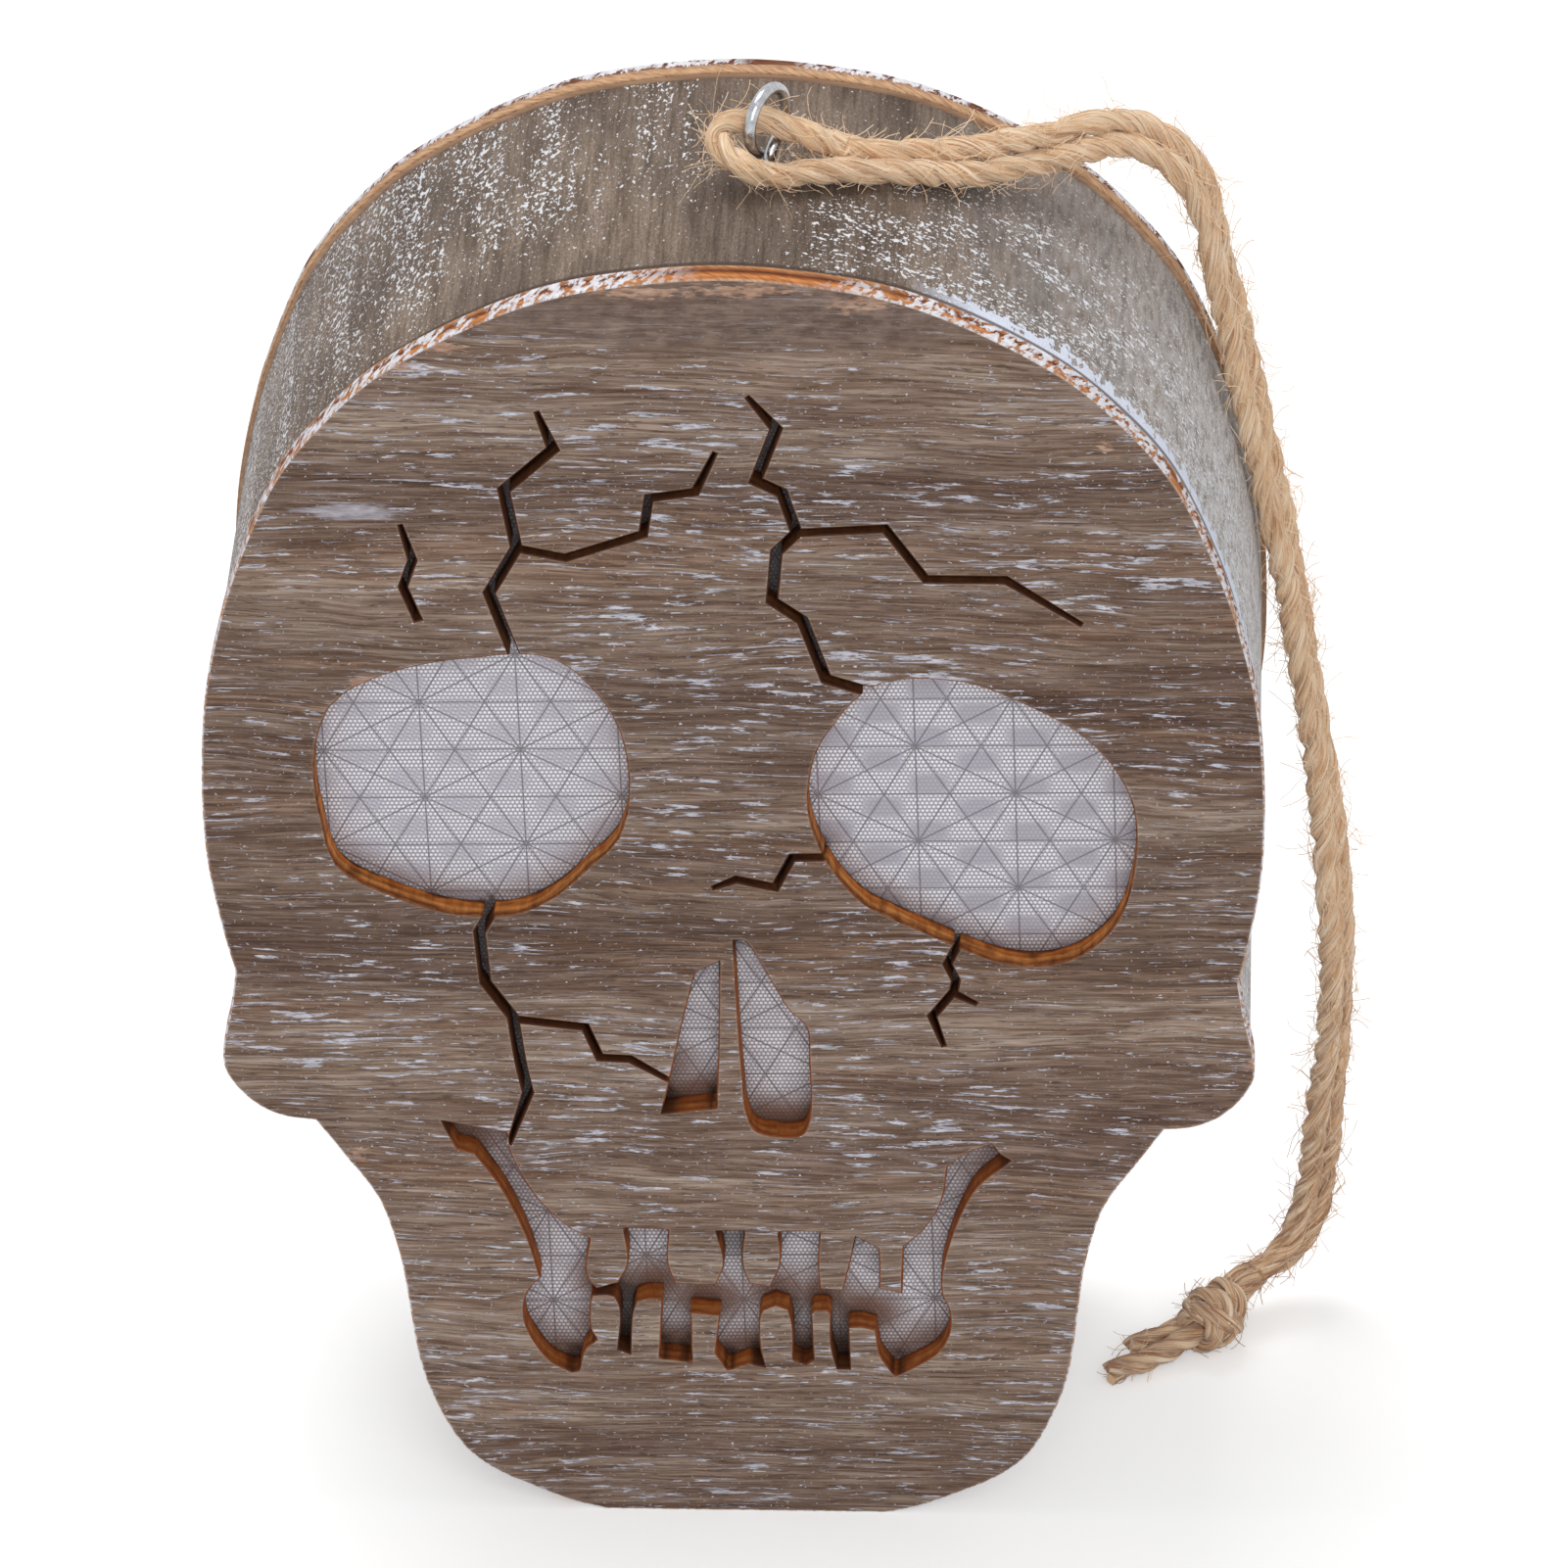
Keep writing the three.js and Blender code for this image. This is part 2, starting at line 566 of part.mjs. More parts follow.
const toVectors = (route) => route.map(([x, y, z]) => vector(x, y, z));
const frontStrand = [...pairStrand(-1).reverse(), ...toVectors(frontLeadRoute)];
const rearStrand = [...toVectors(rearLeadRoute), ...pairStrand(1)];
const twinePoints = [...frontStrand, ...toVectors(bightRoute), ...rearStrand];
const twineCurve = new THREE.CatmullRomCurve3(twinePoints);

class TwineStretch extends THREE.Curve {
  constructor(startIndex, endIndex) {
    super();
    this.startIndex = startIndex;
    this.endIndex = endIndex;
  }

  getPoint(t, target) {
    const index = this.startIndex + (this.endIndex - this.startIndex) * t;
    return twineCurve.getPoint(index / (twinePoints.length - 1), target);
  }
}

// A joint gap counted in steps of the route
function gapInSteps(index) {
  return twineJointGap / twinePoints[index].distanceTo(twinePoints[index + 1]);
}

function addTwine(name, startIndex, endIndex, step) {
  const stretch = new TwineStretch(startIndex, endIndex);
  addPiece(name, tube(stretch, twineRadius, 8, Math.round(stretch.getLength() / step)), jute);
}

const bightStart = frontStrand.length - 1;
const bightEnd = frontStrand.length + bightRoute.length;
addTwine("twine_front", 0, bightStart - gapInSteps(bightStart - 1), twineStep);
addTwine("twine_bight", bightStart, bightEnd, bightStep);
addTwine("twine_rear", bightEnd + gapInSteps(bightEnd), twinePoints.length - 1, twineStep);

// Overhand knot: a swollen middle with two slanting wraps, its neck and two cut tails
const knotCentre = vector(...knotPlace);
const knotNeckEnd = pairCurve.getPoint(1);
const knotAxis = new THREE.Vector3().subVectors(knotCentre, knotNeckEnd).normalize();
const knotTurn = new THREE.Quaternion().setFromUnitVectors(towardRear, knotAxis);

function knotMiddle() {
  const geometry = new THREE.SphereGeometry(1, 14, 10);
  geometry.scale(knotDiameter / 2, knotLength / 2, knotDiameter / 2);
  geometry.applyQuaternion(knotTurn);
  geometry.translate(knotCentre.x, knotCentre.y, knotCentre.z);
  return toSolid(geometry);
}

function knotWrap(side) {
  const geometry = new THREE.TorusGeometry(knotWrapRadius, twineRadius, 8, 18);
  geometry.rotateX(Math.PI / 2 + side * knotWrapTilt);
  geometry.translate(0, side * knotLength * knotWrapPlaceShare, 0);
  geometry.applyQuaternion(knotTurn);
  geometry.translate(knotCentre.x, knotCentre.y, knotCentre.z);
  return toSolid(geometry);
}

function knotNeck(strandEnd, leaving) {
  const start = strandEnd.clone().addScaledVector(leaving, twineJointGap);
  const bend = start.clone().addScaledVector(leaving, knotNeckLength);
  return tube(new THREE.QuadraticBezierCurve3(start, bend, knotCentre), twineRadius, 8, 5);
}

function knotTail(route) {
  const curve = new THREE.CatmullRomCurve3([knotCentre, ...toVectors(route)]);
  return tube(curve, twineRadius, 8, 7);
}

addPiece("twine_knot", join([
  knotMiddle(), knotWrap(-1), knotWrap(1),
  knotNeck(twinePoints[0], twineCurve.getTangent(0).negate()),
  knotNeck(twinePoints[twinePoints.length - 1], twineCurve.getTangent(1)),
  knotTail(upperTailRoute), knotTail(lowerTailRoute),
]), jute);

// Battery case: planes worked out from the outer face inwards
const caseOuterY = rearY - caseRecess;
const doorInnerY = caseOuterY - doorThickness;
const ledgeY = doorInnerY - doorFit;
const cellY = ledgeY - cellFit - cellDiameter / 2;
const channelRadius = cellDiameter / 2 + cellFit;
const bayFloorY = cellY - channelRadius;
const caseFrontY = bayFloorY - caseFloor;
const flangeBackY = rearPlateY - glueGap;
const flangeFrontY = flangeBackY - flangeThickness;
const bayLength = cellLength + springLength + 2 * contactThickness + 5 * seatGap;
const bayHalf = bayLength / 2;
const bayLowZ = caseCentreZ - cellPitch / 2 - channelRadius;
const bayHighZ = caseCentreZ + cellPitch / 2 + channelRadius;
const recessHalf = bayHalf + doorLedge;
const caseHalf = recessHalf + caseWall;
const hingeY = caseOuterY - doorBarrelRadius;
const hingeZ = bayLowZ;
const recessLowZ = hingeZ - doorBarrelRadius - doorFit;
const doorTopZ = bayHighZ + doorTopLap;
const recessHighZ = doorTopZ + doorFit;
const caseLowZ = recessLowZ - caseWall / 2;
const caseHighZ = recessHighZ + podHeight;
const wellFloorY = caseOuterY - switchWellDepth;
const panelInnerY = wellFloorY - switchPanel;
const switchFrontY = panelInnerY - seatGap - switchBodyDepth;
const podFrontY = switchFrontY - switchPinWidth;
const switchZ = caseHighZ - caseWall - switchWellHeight / 2;
const boardZ = caseCentreZ + boardRise;
const boardBackY = caseFrontY - bossHeight - seatGap;
const boardFrontY = boardBackY - boardThickness;

function channel(z) {
  const round = rod(channelRadius, vector(-bayHalf, cellY, z), vector(bayHalf, cellY, z), 28);
  const outwards = block(-bayHalf, bayHalf, cellY, caseOuterY + cutOverrun,
    z - channelRadius, z + channelRadius);
  return join([round, outwards]);
}

const upperCellZ = caseCentreZ + cellPitch / 2;
const lowerCellZ = caseCentreZ - cellPitch / 2;
const contactX = bayHalf - seatGap - contactThickness;
const screwPlaces = [-1, 1].flatMap((side) => [caseLowZ - flangeWidth / 2, caseHighZ + flangeWidth / 2]
  .map((z) => ({ x: side * (caseHalf + flangeWidth / 2), z })));
const boardHalf = contactX - boardSideRoom;
const lampPitch = boardHalf - lampEdgeRoom;
const boardScrewX = lampPitch / 2;

function tabSlot(z) {
  return block(contactX - seatGap, contactX + contactThickness + seatGap,
    caseFrontY - cutOverrun, cellY, z - contactTabWidth / 2 - seatGap, z + contactTabWidth / 2 + seatGap);
}

const caseBody = join([
  block(-caseHalf, caseHalf, caseFrontY, caseOuterY, caseLowZ, recessHighZ + caseWall),
  block(-caseHalf, caseHalf, podFrontY, caseOuterY, recessHighZ, caseHighZ),
  block(-caseHalf - flangeWidth, caseHalf + flangeWidth, flangeFrontY, flangeBackY,
    caseLowZ - flangeWidth, caseHighZ + flangeWidth),
  ...[-1, 1].map((side) => rod(
    bossDiameter / 2,
    vector(side * boardScrewX, caseFrontY - bossHeight, boardZ),
    vector(side * boardScrewX, bayFloorY, boardZ),
    screwSides,
  )),
]);
const pinHoleReach = caseHalf + cutOverrun;
addPiece("battery_case", cut(caseBody, [
  channel(upperCellZ),
  channel(lowerCellZ),
  // The ridge between the cells is open over its top and where the bridge contact crosses it
  block(-bayHalf, bayHalf, cellY, caseOuterY + cutOverrun, bayLowZ, bayHighZ),
  block(-bayHalf, -contactX + seatGap, cellY - contactHeight / 2 - seatGap, cellY + cutOverrun,
    lowerCellZ, upperCellZ),
  tabSlot(upperCellZ),
  tabSlot(lowerCellZ),
  // Ledge of the door and the space of its barrel
  block(-recessHalf, recessHalf, ledgeY, caseOuterY + cutOverrun, hingeZ, recessHighZ),
  block(-recessHalf, recessHalf, hingeY - doorBarrelRadius - doorFit, caseOuterY + cutOverrun,
    recessLowZ, hingeZ + doorBarrelRadius + doorFit),
  rod(doorPinRadius + doorPinFit, vector(-pinHoleReach, hingeY, hingeZ),
    vector(pinHoleReach, hingeY, hingeZ), screwSides),
  // Thumb notch over the latch
  block(-thumbNotchWidth / 2, thumbNotchWidth / 2, caseOuterY - thumbNotchDepth,
    caseOuterY + cutOverrun, doorTopZ, recessHighZ + thumbNotchHeight),
  // Pod of the switch: open to the inside, with a sunk panel and a slot for the knob
  block(-recessHalf, recessHalf, podFrontY - cutOverrun, panelInnerY,
    recessHighZ + caseWall, caseHighZ - caseWall / 2),
  block(switchX - switchWellWidth / 2, switchX + switchWellWidth / 2, wellFloorY,
    caseOuterY + cutOverrun, switchZ - switchWellHeight / 2, switchZ + switchWellHeight / 2),
  block(switchX - (switchKnobWidth + switchTravel) / 2 - switchSlotFit,
    switchX + (switchKnobWidth + switchTravel) / 2 + switchSlotFit,
    panelInnerY - cutOverrun, wellFloorY + cutOverrun,
    switchZ - switchKnobHeight / 2 - switchSlotFit, switchZ + switchKnobHeight / 2 + switchSlotFit),
  // Holes of the screws
  ...screwPlaces.map(({ x, z }) => rod(caseScrewRadius + screwHoleFit,
    vector(x, flangeFrontY - cutOverrun, z), vector(x, flangeBackY + cutOverrun, z), screwSides)),
  ...[-1, 1].map((side) => rod(boardScrewRadius + screwHoleFit,
    vector(side * boardScrewX, caseFrontY - bossHeight - cutOverrun, boardZ),
    vector(side * boardScrewX, boardFrontY - seatGap + boardScrewLength + seatGap, boardZ), screwSides)),
]), blackPlastic);

// Back plate with the window of the case and blind holes for its screws
addPiece("back_plate", cut(plate(outline, rearPlateY, rearY), [
  block(-caseHalf - windowFit, caseHalf + windowFit, rearPlateY - cutOverrun, rearY + cutOverrun,
    caseLowZ - windowFit, caseHighZ + windowFit),
  ...screwPlaces.map(({ x, z }) => rod(caseScrewRadius + screwHoleFit,
    vector(x, rearPlateY - cutOverrun, z), vector(x, rearPlateY + pilotDepth, z), screwSides)),
]), limedWood);

// Door: a panel on a barrel with two pins, a latch tongue and grip ridges
const doorHalf = recessHalf - doorFit;
const ridgeTopZ = doorTopZ - gripRidgePitch;
const gripRidges = Array.from({ length: gripRidgeCount }, (unused, i) => {
  const top = ridgeTopZ - i * gripRidgePitch;
  return block(-gripRidgeWidth / 2, gripRidgeWidth / 2, doorInnerY, caseOuterY + gripRidgeRise,
    top - gripRidgeHeight, top);
});
addPiece("battery_door", join([
  block(-doorHalf, doorHalf, doorInnerY, caseOuterY, hingeZ, doorTopZ),
  rod(doorBarrelRadius, vector(-doorHalf, hingeY, hingeZ), vector(doorHalf, hingeY, hingeZ), 24),
  rod(doorPinRadius, vector(-doorHalf - doorPinLength, hingeY, hingeZ),
    vector(doorHalf + doorPinLength, hingeY, hingeZ), screwSides),
  block(-latchWidth / 2, latchWidth / 2, doorInnerY - latchLength, doorInnerY + doorThickness / 2,
    bayHighZ - doorFit - latchThickness, bayHighZ - doorFit),
  ...gripRidges,
]), blackPlastic);

// Two cells side by side, turned end for end
const cellProfile = [
  new THREE.Vector2(0, 0),
  new THREE.Vector2(cellDiameter / 2 - cellShoulder, 0),
  new THREE.Vector2(cellDiameter / 2, cellShoulder),
  new THREE.Vector2(cellDiameter / 2, cellLength - cellButtonHeight - cellShoulder),
  new THREE.Vector2(cellDiameter / 2 - cellShoulder, cellLength - cellButtonHeight),
  new THREE.Vector2(cellButtonRadius, cellLength - cellButtonHeight),
  new THREE.Vector2(cellButtonRadius, cellLength),
  new THREE.Vector2(0, cellLength),
];
const cellStartX = contactX - seatGap - springLength - seatGap;
const springStartX = contactX - seatGap;

function addCell(name, side, z) {
  const place = vector(-side * cellStartX, cellY, z);
  addPiece(name, turned(cellProfile, place, vector(side, 0, 0), 28), cellSleeve);
}

addCell("battery_upper", 1, upperCellZ);
addCell("battery_lower", -1, lowerCellZ);

// Cone springs under the flat ends of the cells
class ConeSpring extends THREE.Curve {
  constructor(side, z) {
    super();
    this.side = side;
    this.z = z;
  }

  getPoint(t, target = new THREE.Vector3()) {
    const angle = t * springTurns * Math.PI * 2;
    const radius = THREE.MathUtils.lerp(springBaseRadius, springTipRadius, t);
    const along = springWire / 2 + t * (springLength - springWire);
    return target.set(
      -this.side * (springStartX - along),
      cellY + radius * Math.cos(angle),
      this.z + radius * Math.sin(angle),
    );
  }
}

// Least clear space between two turns, measured on points a turn apart
function leastTurnGap(spring) {
  const points = spring.getPoints(springTurns * 24);
  const gaps = points.slice(24).map((point, i) => point.distanceTo(points[i]) - springWire);
  return Math.min(...gaps);
}

function addSpring(name, side, z) {
  const spring = new ConeSpring(side, z);
  console.log(name, "least gap between turns", leastTurnGap(spring).toFixed(2));
  addPiece(name, tube(spring, springWire / 2, 5, springTurns * 8), nickelSteel);
}

addSpring("spring_upper", 1, upperCellZ);
addSpring("spring_lower", -1, lowerCellZ);

// Contacts: a bridge at one end of the bay, and two plates with solder tabs at the other
function contactPlate(lowX, lowZ, highZ) {
  return block(lowX, lowX + contactThickness, cellY - contactHeight / 2, cellY + contactHeight / 2,
    lowZ - contactWidth / 2, highZ + contactWidth / 2);
}

function addContact(name, z) {
  addPiece(name, join([
    contactPlate(contactX, z, z),
    block(contactX, contactX + contactThickness, caseFrontY - contactTabReach, cellY,
      z - contactTabWidth / 2, z + contactTabWidth / 2),
  ]), nickelSteel);
}

addPiece("contact_bridge", contactPlate(-contactX - contactThickness, lowerCellZ, upperCellZ), nickelSteel);
addContact("contact_positive", upperCellZ);
addContact("contact_negative", lowerCellZ);

// Slide switch: a body with three pins, and a knob that slides in its slot
const knobRestX = switchX - switchTravel / 2;
const switchBackY = switchFrontY + switchBodyDepth;
const stemLowY = switchBackY - switchStemDepth;
addPiece("switch_body", join([
  cut(
    block(switchX - switchBodyWidth / 2, switchX + switchBodyWidth / 2, switchFrontY, switchBackY,
      switchZ - switchBodyHeight / 2, switchZ + switchBodyHeight / 2),
    [block(switchX - (switchKnobWidth + switchTravel) / 2 - switchSlotFit,
      switchX + (switchKnobWidth + switchTravel) / 2 + switchSlotFit,
      stemLowY - seatGap, switchBackY + cutOverrun,
      switchZ - switchKnobHeight / 2 - switchSlotFit, switchZ + switchKnobHeight / 2 + switchSlotFit)],
  ),
  ...[-1, 0, 1].map((place) => block(
    switchX + place * switchPinPitch - switchPinWidth / 2,
    switchX + place * switchPinPitch + switchPinWidth / 2,
    switchFrontY - switchPinLength, switchFrontY + switchPinWidth,
    switchZ - contactThickness / 2, switchZ + contactThickness / 2,
  )),
]), nickelSteel);
addPiece("switch_knob", block(knobRestX - switchKnobWidth / 2, knobRestX + switchKnobWidth / 2,
  stemLowY, caseOuterY - caseRecess, switchZ - switchKnobHeight / 2, switchZ + switchKnobHeight / 2),
blackPlastic);

// Lamp board on two bosses, with its lamps, resistor and leads
addPiece("lamp_board", cut(
  block(-boardHalf, boardHalf, boardFrontY, boardBackY,
    boardZ - boardHeight / 2, boardZ + boardHeight / 2),
  [-1, 1].map((side) => rod(boardScrewRadius + screwHoleFit,
    vector(side * boardScrewX, boardFrontY - cutOverrun, boardZ),
    vector(side * boardScrewX, boardBackY + cutOverrun, boardZ), screwSides)),
), greenBoard);

const domeSteps = [0, 0.25, 0.5, 0.75, 1].map((share) => share * Math.PI / 2);
const lampProfile = [
  new THREE.Vector2(0, 0),
  new THREE.Vector2(lampRimRadius, 0),
  new THREE.Vector2(lampRimRadius, lampRimHeight),
  new THREE.Vector2(lampRadius, lampRimHeight),
  ...domeSteps.map((angle) => new THREE.Vector2(
    lampRadius * Math.cos(angle),
    lampHeight - lampRadius + lampRadius * Math.sin(angle),
  )),
];
lampProfile[lampProfile.length - 1].x = 0;
["lamp_left", "lamp_middle", "lamp_right"].forEach((name, i) => {
  const place = vector((i - 1) * lampPitch, boardFrontY - seatGap, boardZ);
  addPiece(name, turned(lampProfile, place, towardFace, 20), lampResin);
});

const resistorY = boardFrontY - seatGap - resistorRadius;
const resistorZ = boardZ - boardHeight / 2 + resistorRadius + seatGap;
addPiece("lamp_resistor", join([
  rod(resistorRadius, vector(-resistorLength / 2, resistorY, resistorZ),
    vector(resistorLength / 2, resistorY, resistorZ), 12),
  rod(resistorLead / 2, vector(-resistorSpan / 2, resistorY, resistorZ),
    vector(resistorSpan / 2, resistorY, resistorZ), 8),
  ...[-1, 1].map((side) => rod(resistorLead / 2,
    vector(side * (resistorSpan - resistorLead) / 2, resistorY, resistorZ),
    vector(side * (resistorSpan - resistorLead) / 2, boardFrontY - seatGap, resistorZ), 8)),
]), tanCeramic);

// A lead that leaves both of its ends straight towards the face
function addLead(name, start, end, reach, material) {
  const curve = new THREE.CubicBezierCurve3(
    start, start.clone().addScaledVector(towardFace, reach),
    end.clone().addScaledVector(towardFace, reach), end,
  );
  addPiece(name, tube(curve, leadRadius, 8, Math.round(curve.getLength() / leadStep) + 4), material);
}

const tabTipY = caseFrontY - contactTabReach - seatGap;
const tabX = contactX + contactThickness / 2;
const pinTipY = switchFrontY - switchPinLength - seatGap;
const padX = boardHalf - leadRadius * 4;
const padY = boardFrontY - seatGap;
const padRise = boardHeight / 2 - leadRadius * 3;
addLead("lead_red", vector(tabX, tabTipY, upperCellZ),
  vector(switchX + switchPinPitch, pinTipY, switchZ), leadReach, redSleeve);
addLead("lead_switch", vector(switchX, pinTipY, switchZ),
  vector(padX, padY, boardZ + padRise), leadReach, redSleeve);
addLead("lead_black", vector(tabX, tabTipY, lowerCellZ),
  vector(padX, padY, boardZ - padRise), leadReach / 2, blackSleeve);

// Screws with round heads
function screwAt(x, headY, z, radius, length, headRadius, headHeight) {
  const profile = [
    new THREE.Vector2(0, -headHeight),
    new THREE.Vector2(headRadius / 2, -headHeight),
    new THREE.Vector2(headRadius, -headHeight / 3),
    new THREE.Vector2(headRadius, 0),
    new THREE.Vector2(radius, 0),
    new THREE.Vector2(radius, length - radius),
    new THREE.Vector2(0, length),
  ];
  return turned(profile, vector(x, headY, z), towardRear, screwSides);
}

screwPlaces.forEach(({ x, z }, i) => {
  addPiece(`case_screw_${i + 1}`, screwAt(x, flangeFrontY - seatGap, z,
    caseScrewRadius, caseScrewLength, caseScrewHeadRadius, caseScrewHeadHeight), brass);
});
[-1, 1].forEach((side, i) => {
  addPiece(`board_screw_${i + 1}`, screwAt(side * boardScrewX, boardFrontY - seatGap, boardZ,
    boardScrewRadius, boardScrewLength, boardScrewHeadRadius, boardScrewHeadHeight), nickelSteel);
});

export default lantern;
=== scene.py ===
"""Looks of the wooden skull lantern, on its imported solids. Tables and patterns are in millimetres."""

import json
import math
from functools import partial

import bmesh
import bpy
import numpy as np
from mathutils import Matrix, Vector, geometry, kdtree

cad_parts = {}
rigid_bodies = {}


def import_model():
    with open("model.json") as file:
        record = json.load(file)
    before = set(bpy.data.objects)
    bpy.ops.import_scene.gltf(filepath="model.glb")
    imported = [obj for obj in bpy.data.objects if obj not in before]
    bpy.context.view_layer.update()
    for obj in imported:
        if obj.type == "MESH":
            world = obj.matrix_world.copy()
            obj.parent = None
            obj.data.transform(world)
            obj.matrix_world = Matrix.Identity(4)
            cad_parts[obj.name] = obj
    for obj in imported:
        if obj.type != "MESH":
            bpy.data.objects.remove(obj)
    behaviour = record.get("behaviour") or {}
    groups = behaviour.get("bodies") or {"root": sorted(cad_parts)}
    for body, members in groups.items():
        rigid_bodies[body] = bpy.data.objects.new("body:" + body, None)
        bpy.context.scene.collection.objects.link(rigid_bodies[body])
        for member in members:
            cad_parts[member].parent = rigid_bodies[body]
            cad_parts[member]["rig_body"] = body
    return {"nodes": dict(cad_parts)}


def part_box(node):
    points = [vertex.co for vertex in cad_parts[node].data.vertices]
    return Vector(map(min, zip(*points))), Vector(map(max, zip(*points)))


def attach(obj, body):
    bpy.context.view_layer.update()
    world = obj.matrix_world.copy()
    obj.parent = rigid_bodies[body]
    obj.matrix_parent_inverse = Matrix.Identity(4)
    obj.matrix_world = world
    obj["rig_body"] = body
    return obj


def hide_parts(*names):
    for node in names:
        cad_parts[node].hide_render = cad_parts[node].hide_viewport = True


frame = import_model()
scene = bpy.context.scene
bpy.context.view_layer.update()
nodes = frame["nodes"]
MM = 0.001
rng = np.random.default_rng(31)

# Camera, where the photograph was taken from
CAMERA_PLACE = (0.062916, -1.105849, 0.833624)
CAMERA_RIGHT = (0.998998, 0.042018, -0.015409)
CAMERA_UP = (-0.010535, 0.555400, 0.831517)
CAMERA_BACK = (0.043496, -0.830521, 0.555286)
CAMERA_LENS = 244.623

# Depths from the middle: the plates' outer and inner faces, the band's rims, the film's rear
PLATE_OUTER, PLATE_INNER, BAND_HALF, FILM_REAR = 26.25, 22.85, 22.55, 22.25
PLATE_THICK = PLATE_OUTER - PLATE_INNER

# Route of the twine, as its solids have it, but its strands a little closer; the pair's last number
# is its turn in degrees
FRONT_LEAD = [
    (29.1, 6.3, 179.1), (23.9, 3, 181), (18.7, 0.8, 182.6), (13.5, -1.2, 183.9),
    (9.2, -3, 184.5), (5.2, -4.7, 185.2),
]
BIGHT = [
    (1.9, -5.6, 187), (-0.4, -4.9, 188.2), (-1.5, -3.1, 189.3), (-0.2, -1.1, 190),
    (3.9, -0.1, 190.1), (8.9, 0.5, 187.9),
]
REAR_LEAD = [(13.5, 2.4, 184.9), (18.7, 4, 183.3), (23.9, 6.2, 182.1), (29.1, 9.3, 181)]
PAIR = [
    (34.3, 11, 179.3, 42), (39, 14.5, 178.3, 44), (43.7, 18, 177.9, 46), (48.1, 20.3, 176.6, 50),
    (52.3, 21.2, 173.9, 57), (55.5, 21.2, 170, 66), (57.3, 20.9, 164.8, 76),
    (58.4, 20.4, 159.4, 76), (60, 19.6, 152.4, 72), (61.9, 18.7, 143.7, 67), (64.4, 18, 131.8, 67),
    (67, 17, 119.5, 73), (69.2, 16.5, 106.2, 79), (71.2, 16.5, 93, 77), (72.8, 16.5, 81.2, 68),
    (74, 17, 68.8, 62), (74.5, 18, 56, 64), (74.3, 19.5, 44.2, 62), (73.4, 21, 32.3, 54),
    (72.6, 22, 21.4, 47), (71.4, 22, 13.5, 40), (69.2, 20.6, 8.8, 44), (64.6, 17.6, 6.4, 66),
]
PAIR_SPACING = 3.05
TWINE_RADIUS = 1.56
TWINE_LAY = 13.0
PLIES = 3
LINE_STEP, CURVE_STEP = 0.45, 0.3
FLOOR_GAP = 0.06
KNOT_CENTRE = (59, 10.4, 4.6)
UPPER_TAIL = [(57.4, 9.8, 3.9), (54.2, 9.9, 2.7), (51.2, 8.7, 1.9), (48.4, 7, 1.7)]
LOWER_TAIL = [(57.2, 8.6, 3.7), (53.6, 6.4, 2.4), (49.6, 4, 1.8), (45.6, 2, 1.7)]

# Ways a colour goes on: as paint over the one below, or as a stain that darkens it
PAINT = {}
STAIN = {"blend_type": "MULTIPLY"}
# A range that eases in and out
EASED = {"interpolation_type": "SMOOTHSTEP"}


def linear(code):
    """An sRGB hex colour as the linear values that the shaders take."""
    parts = [int(code[i:i + 2], 16) / 255 for i in (1, 3, 5)]
    return (*[c / 12.92 if c <= 0.04045 else ((c + 0.055) / 1.055) ** 2.4 for c in parts], 1)


def add(tree, kind, *values, ramp=(), named=None, **settings):
    """Adds a node with its settings and fills its live inputs, in order or by name.

    A kind all in capitals is an arithmetic one."""
    if kind.isupper():
        kind, settings = "Math", {"operation": kind}
    elif kind == "Mix":
        settings["data_type"] = "RGBA"
    made = tree.nodes.new(kind if "Node" in kind else "ShaderNode" + kind)
    for name, value in settings.items():
        setattr(made, name, value)
    stops = made.color_ramp.elements if ramp else ()
    for i, (place, colour) in enumerate(ramp):
        stop = stops[i] if i < 2 else stops.new(place)
        stop.position, stop.color = place, linear(colour)
    fills = list(zip([s for s in made.inputs if s.enabled], values))
    fills += [(made.inputs[name], value) for name, value in (named or {}).items()]
    for socket, value in fills:
        if isinstance(value, bpy.types.Node):
            value = next(s for s in value.outputs if s.enabled)
        if isinstance(value, bpy.types.NodeSocket):
            tree.links.new(value, socket)
        elif value is not None:
            socket.default_value = linear(value) if str(value).startswith("#") else value
    return made


def placed(name, data):
    """A new object of the scene."""
    made = bpy.data.objects.new(name, data)
    scene.collection.objects.link(made)
    return made


def new_finish(name, roughness, **constants):
    """A material, the way to add to its tree, and its shader with its constants set."""
    made = bpy.data.materials.new(name)
    made.use_nodes = True
    shader = made.node_tree.nodes["Principled BSDF"]
    shader.inputs["Roughness"].default_value = roughness
    for socket, value in constants.items():
        shader.inputs[socket.replace("_", " ")].default_value = value
    return made, partial(add, made.node_tree), shader


def coated(made, shader, colour, height=None, depth=0.0):
    """Ends a material: its colour on the shader, and relief of that depth in millimetres."""
    tree = made.node_tree
    tree.links.new(next(s for s in colour.outputs if s.enabled), shader.inputs["Base Color"])
    if height is not None:
        bump = add(tree, "Bump", named={"Height": height, "Distance": depth * MM})
        tree.links.new(bump.outputs["Normal"], shader.inputs["Normal"])
    return made


def place_in_mm(put, map_name=None):
    """Places on the piece, or on its map where one is named, counted in millimetres."""
    if map_name:
        return put("UVMap", uv_map=map_name)
    return put("Mapping", put("TexCoord").outputs["Object"], None, None, (1000, 1000, 1000))


def grit(put, where, per_mm, low, high, detail=3, start=(0, 0, 0), least=0, most=1):
    """Cloudy lumps, so many to a millimetre each way, rising from least at low to most at high."""
    cloud = put("TexNoise", put("Mapping", where, start, None, per_mm), 1, detail, 0.6)
    return put("MapRange", cloud, low, high, least, most, **EASED)


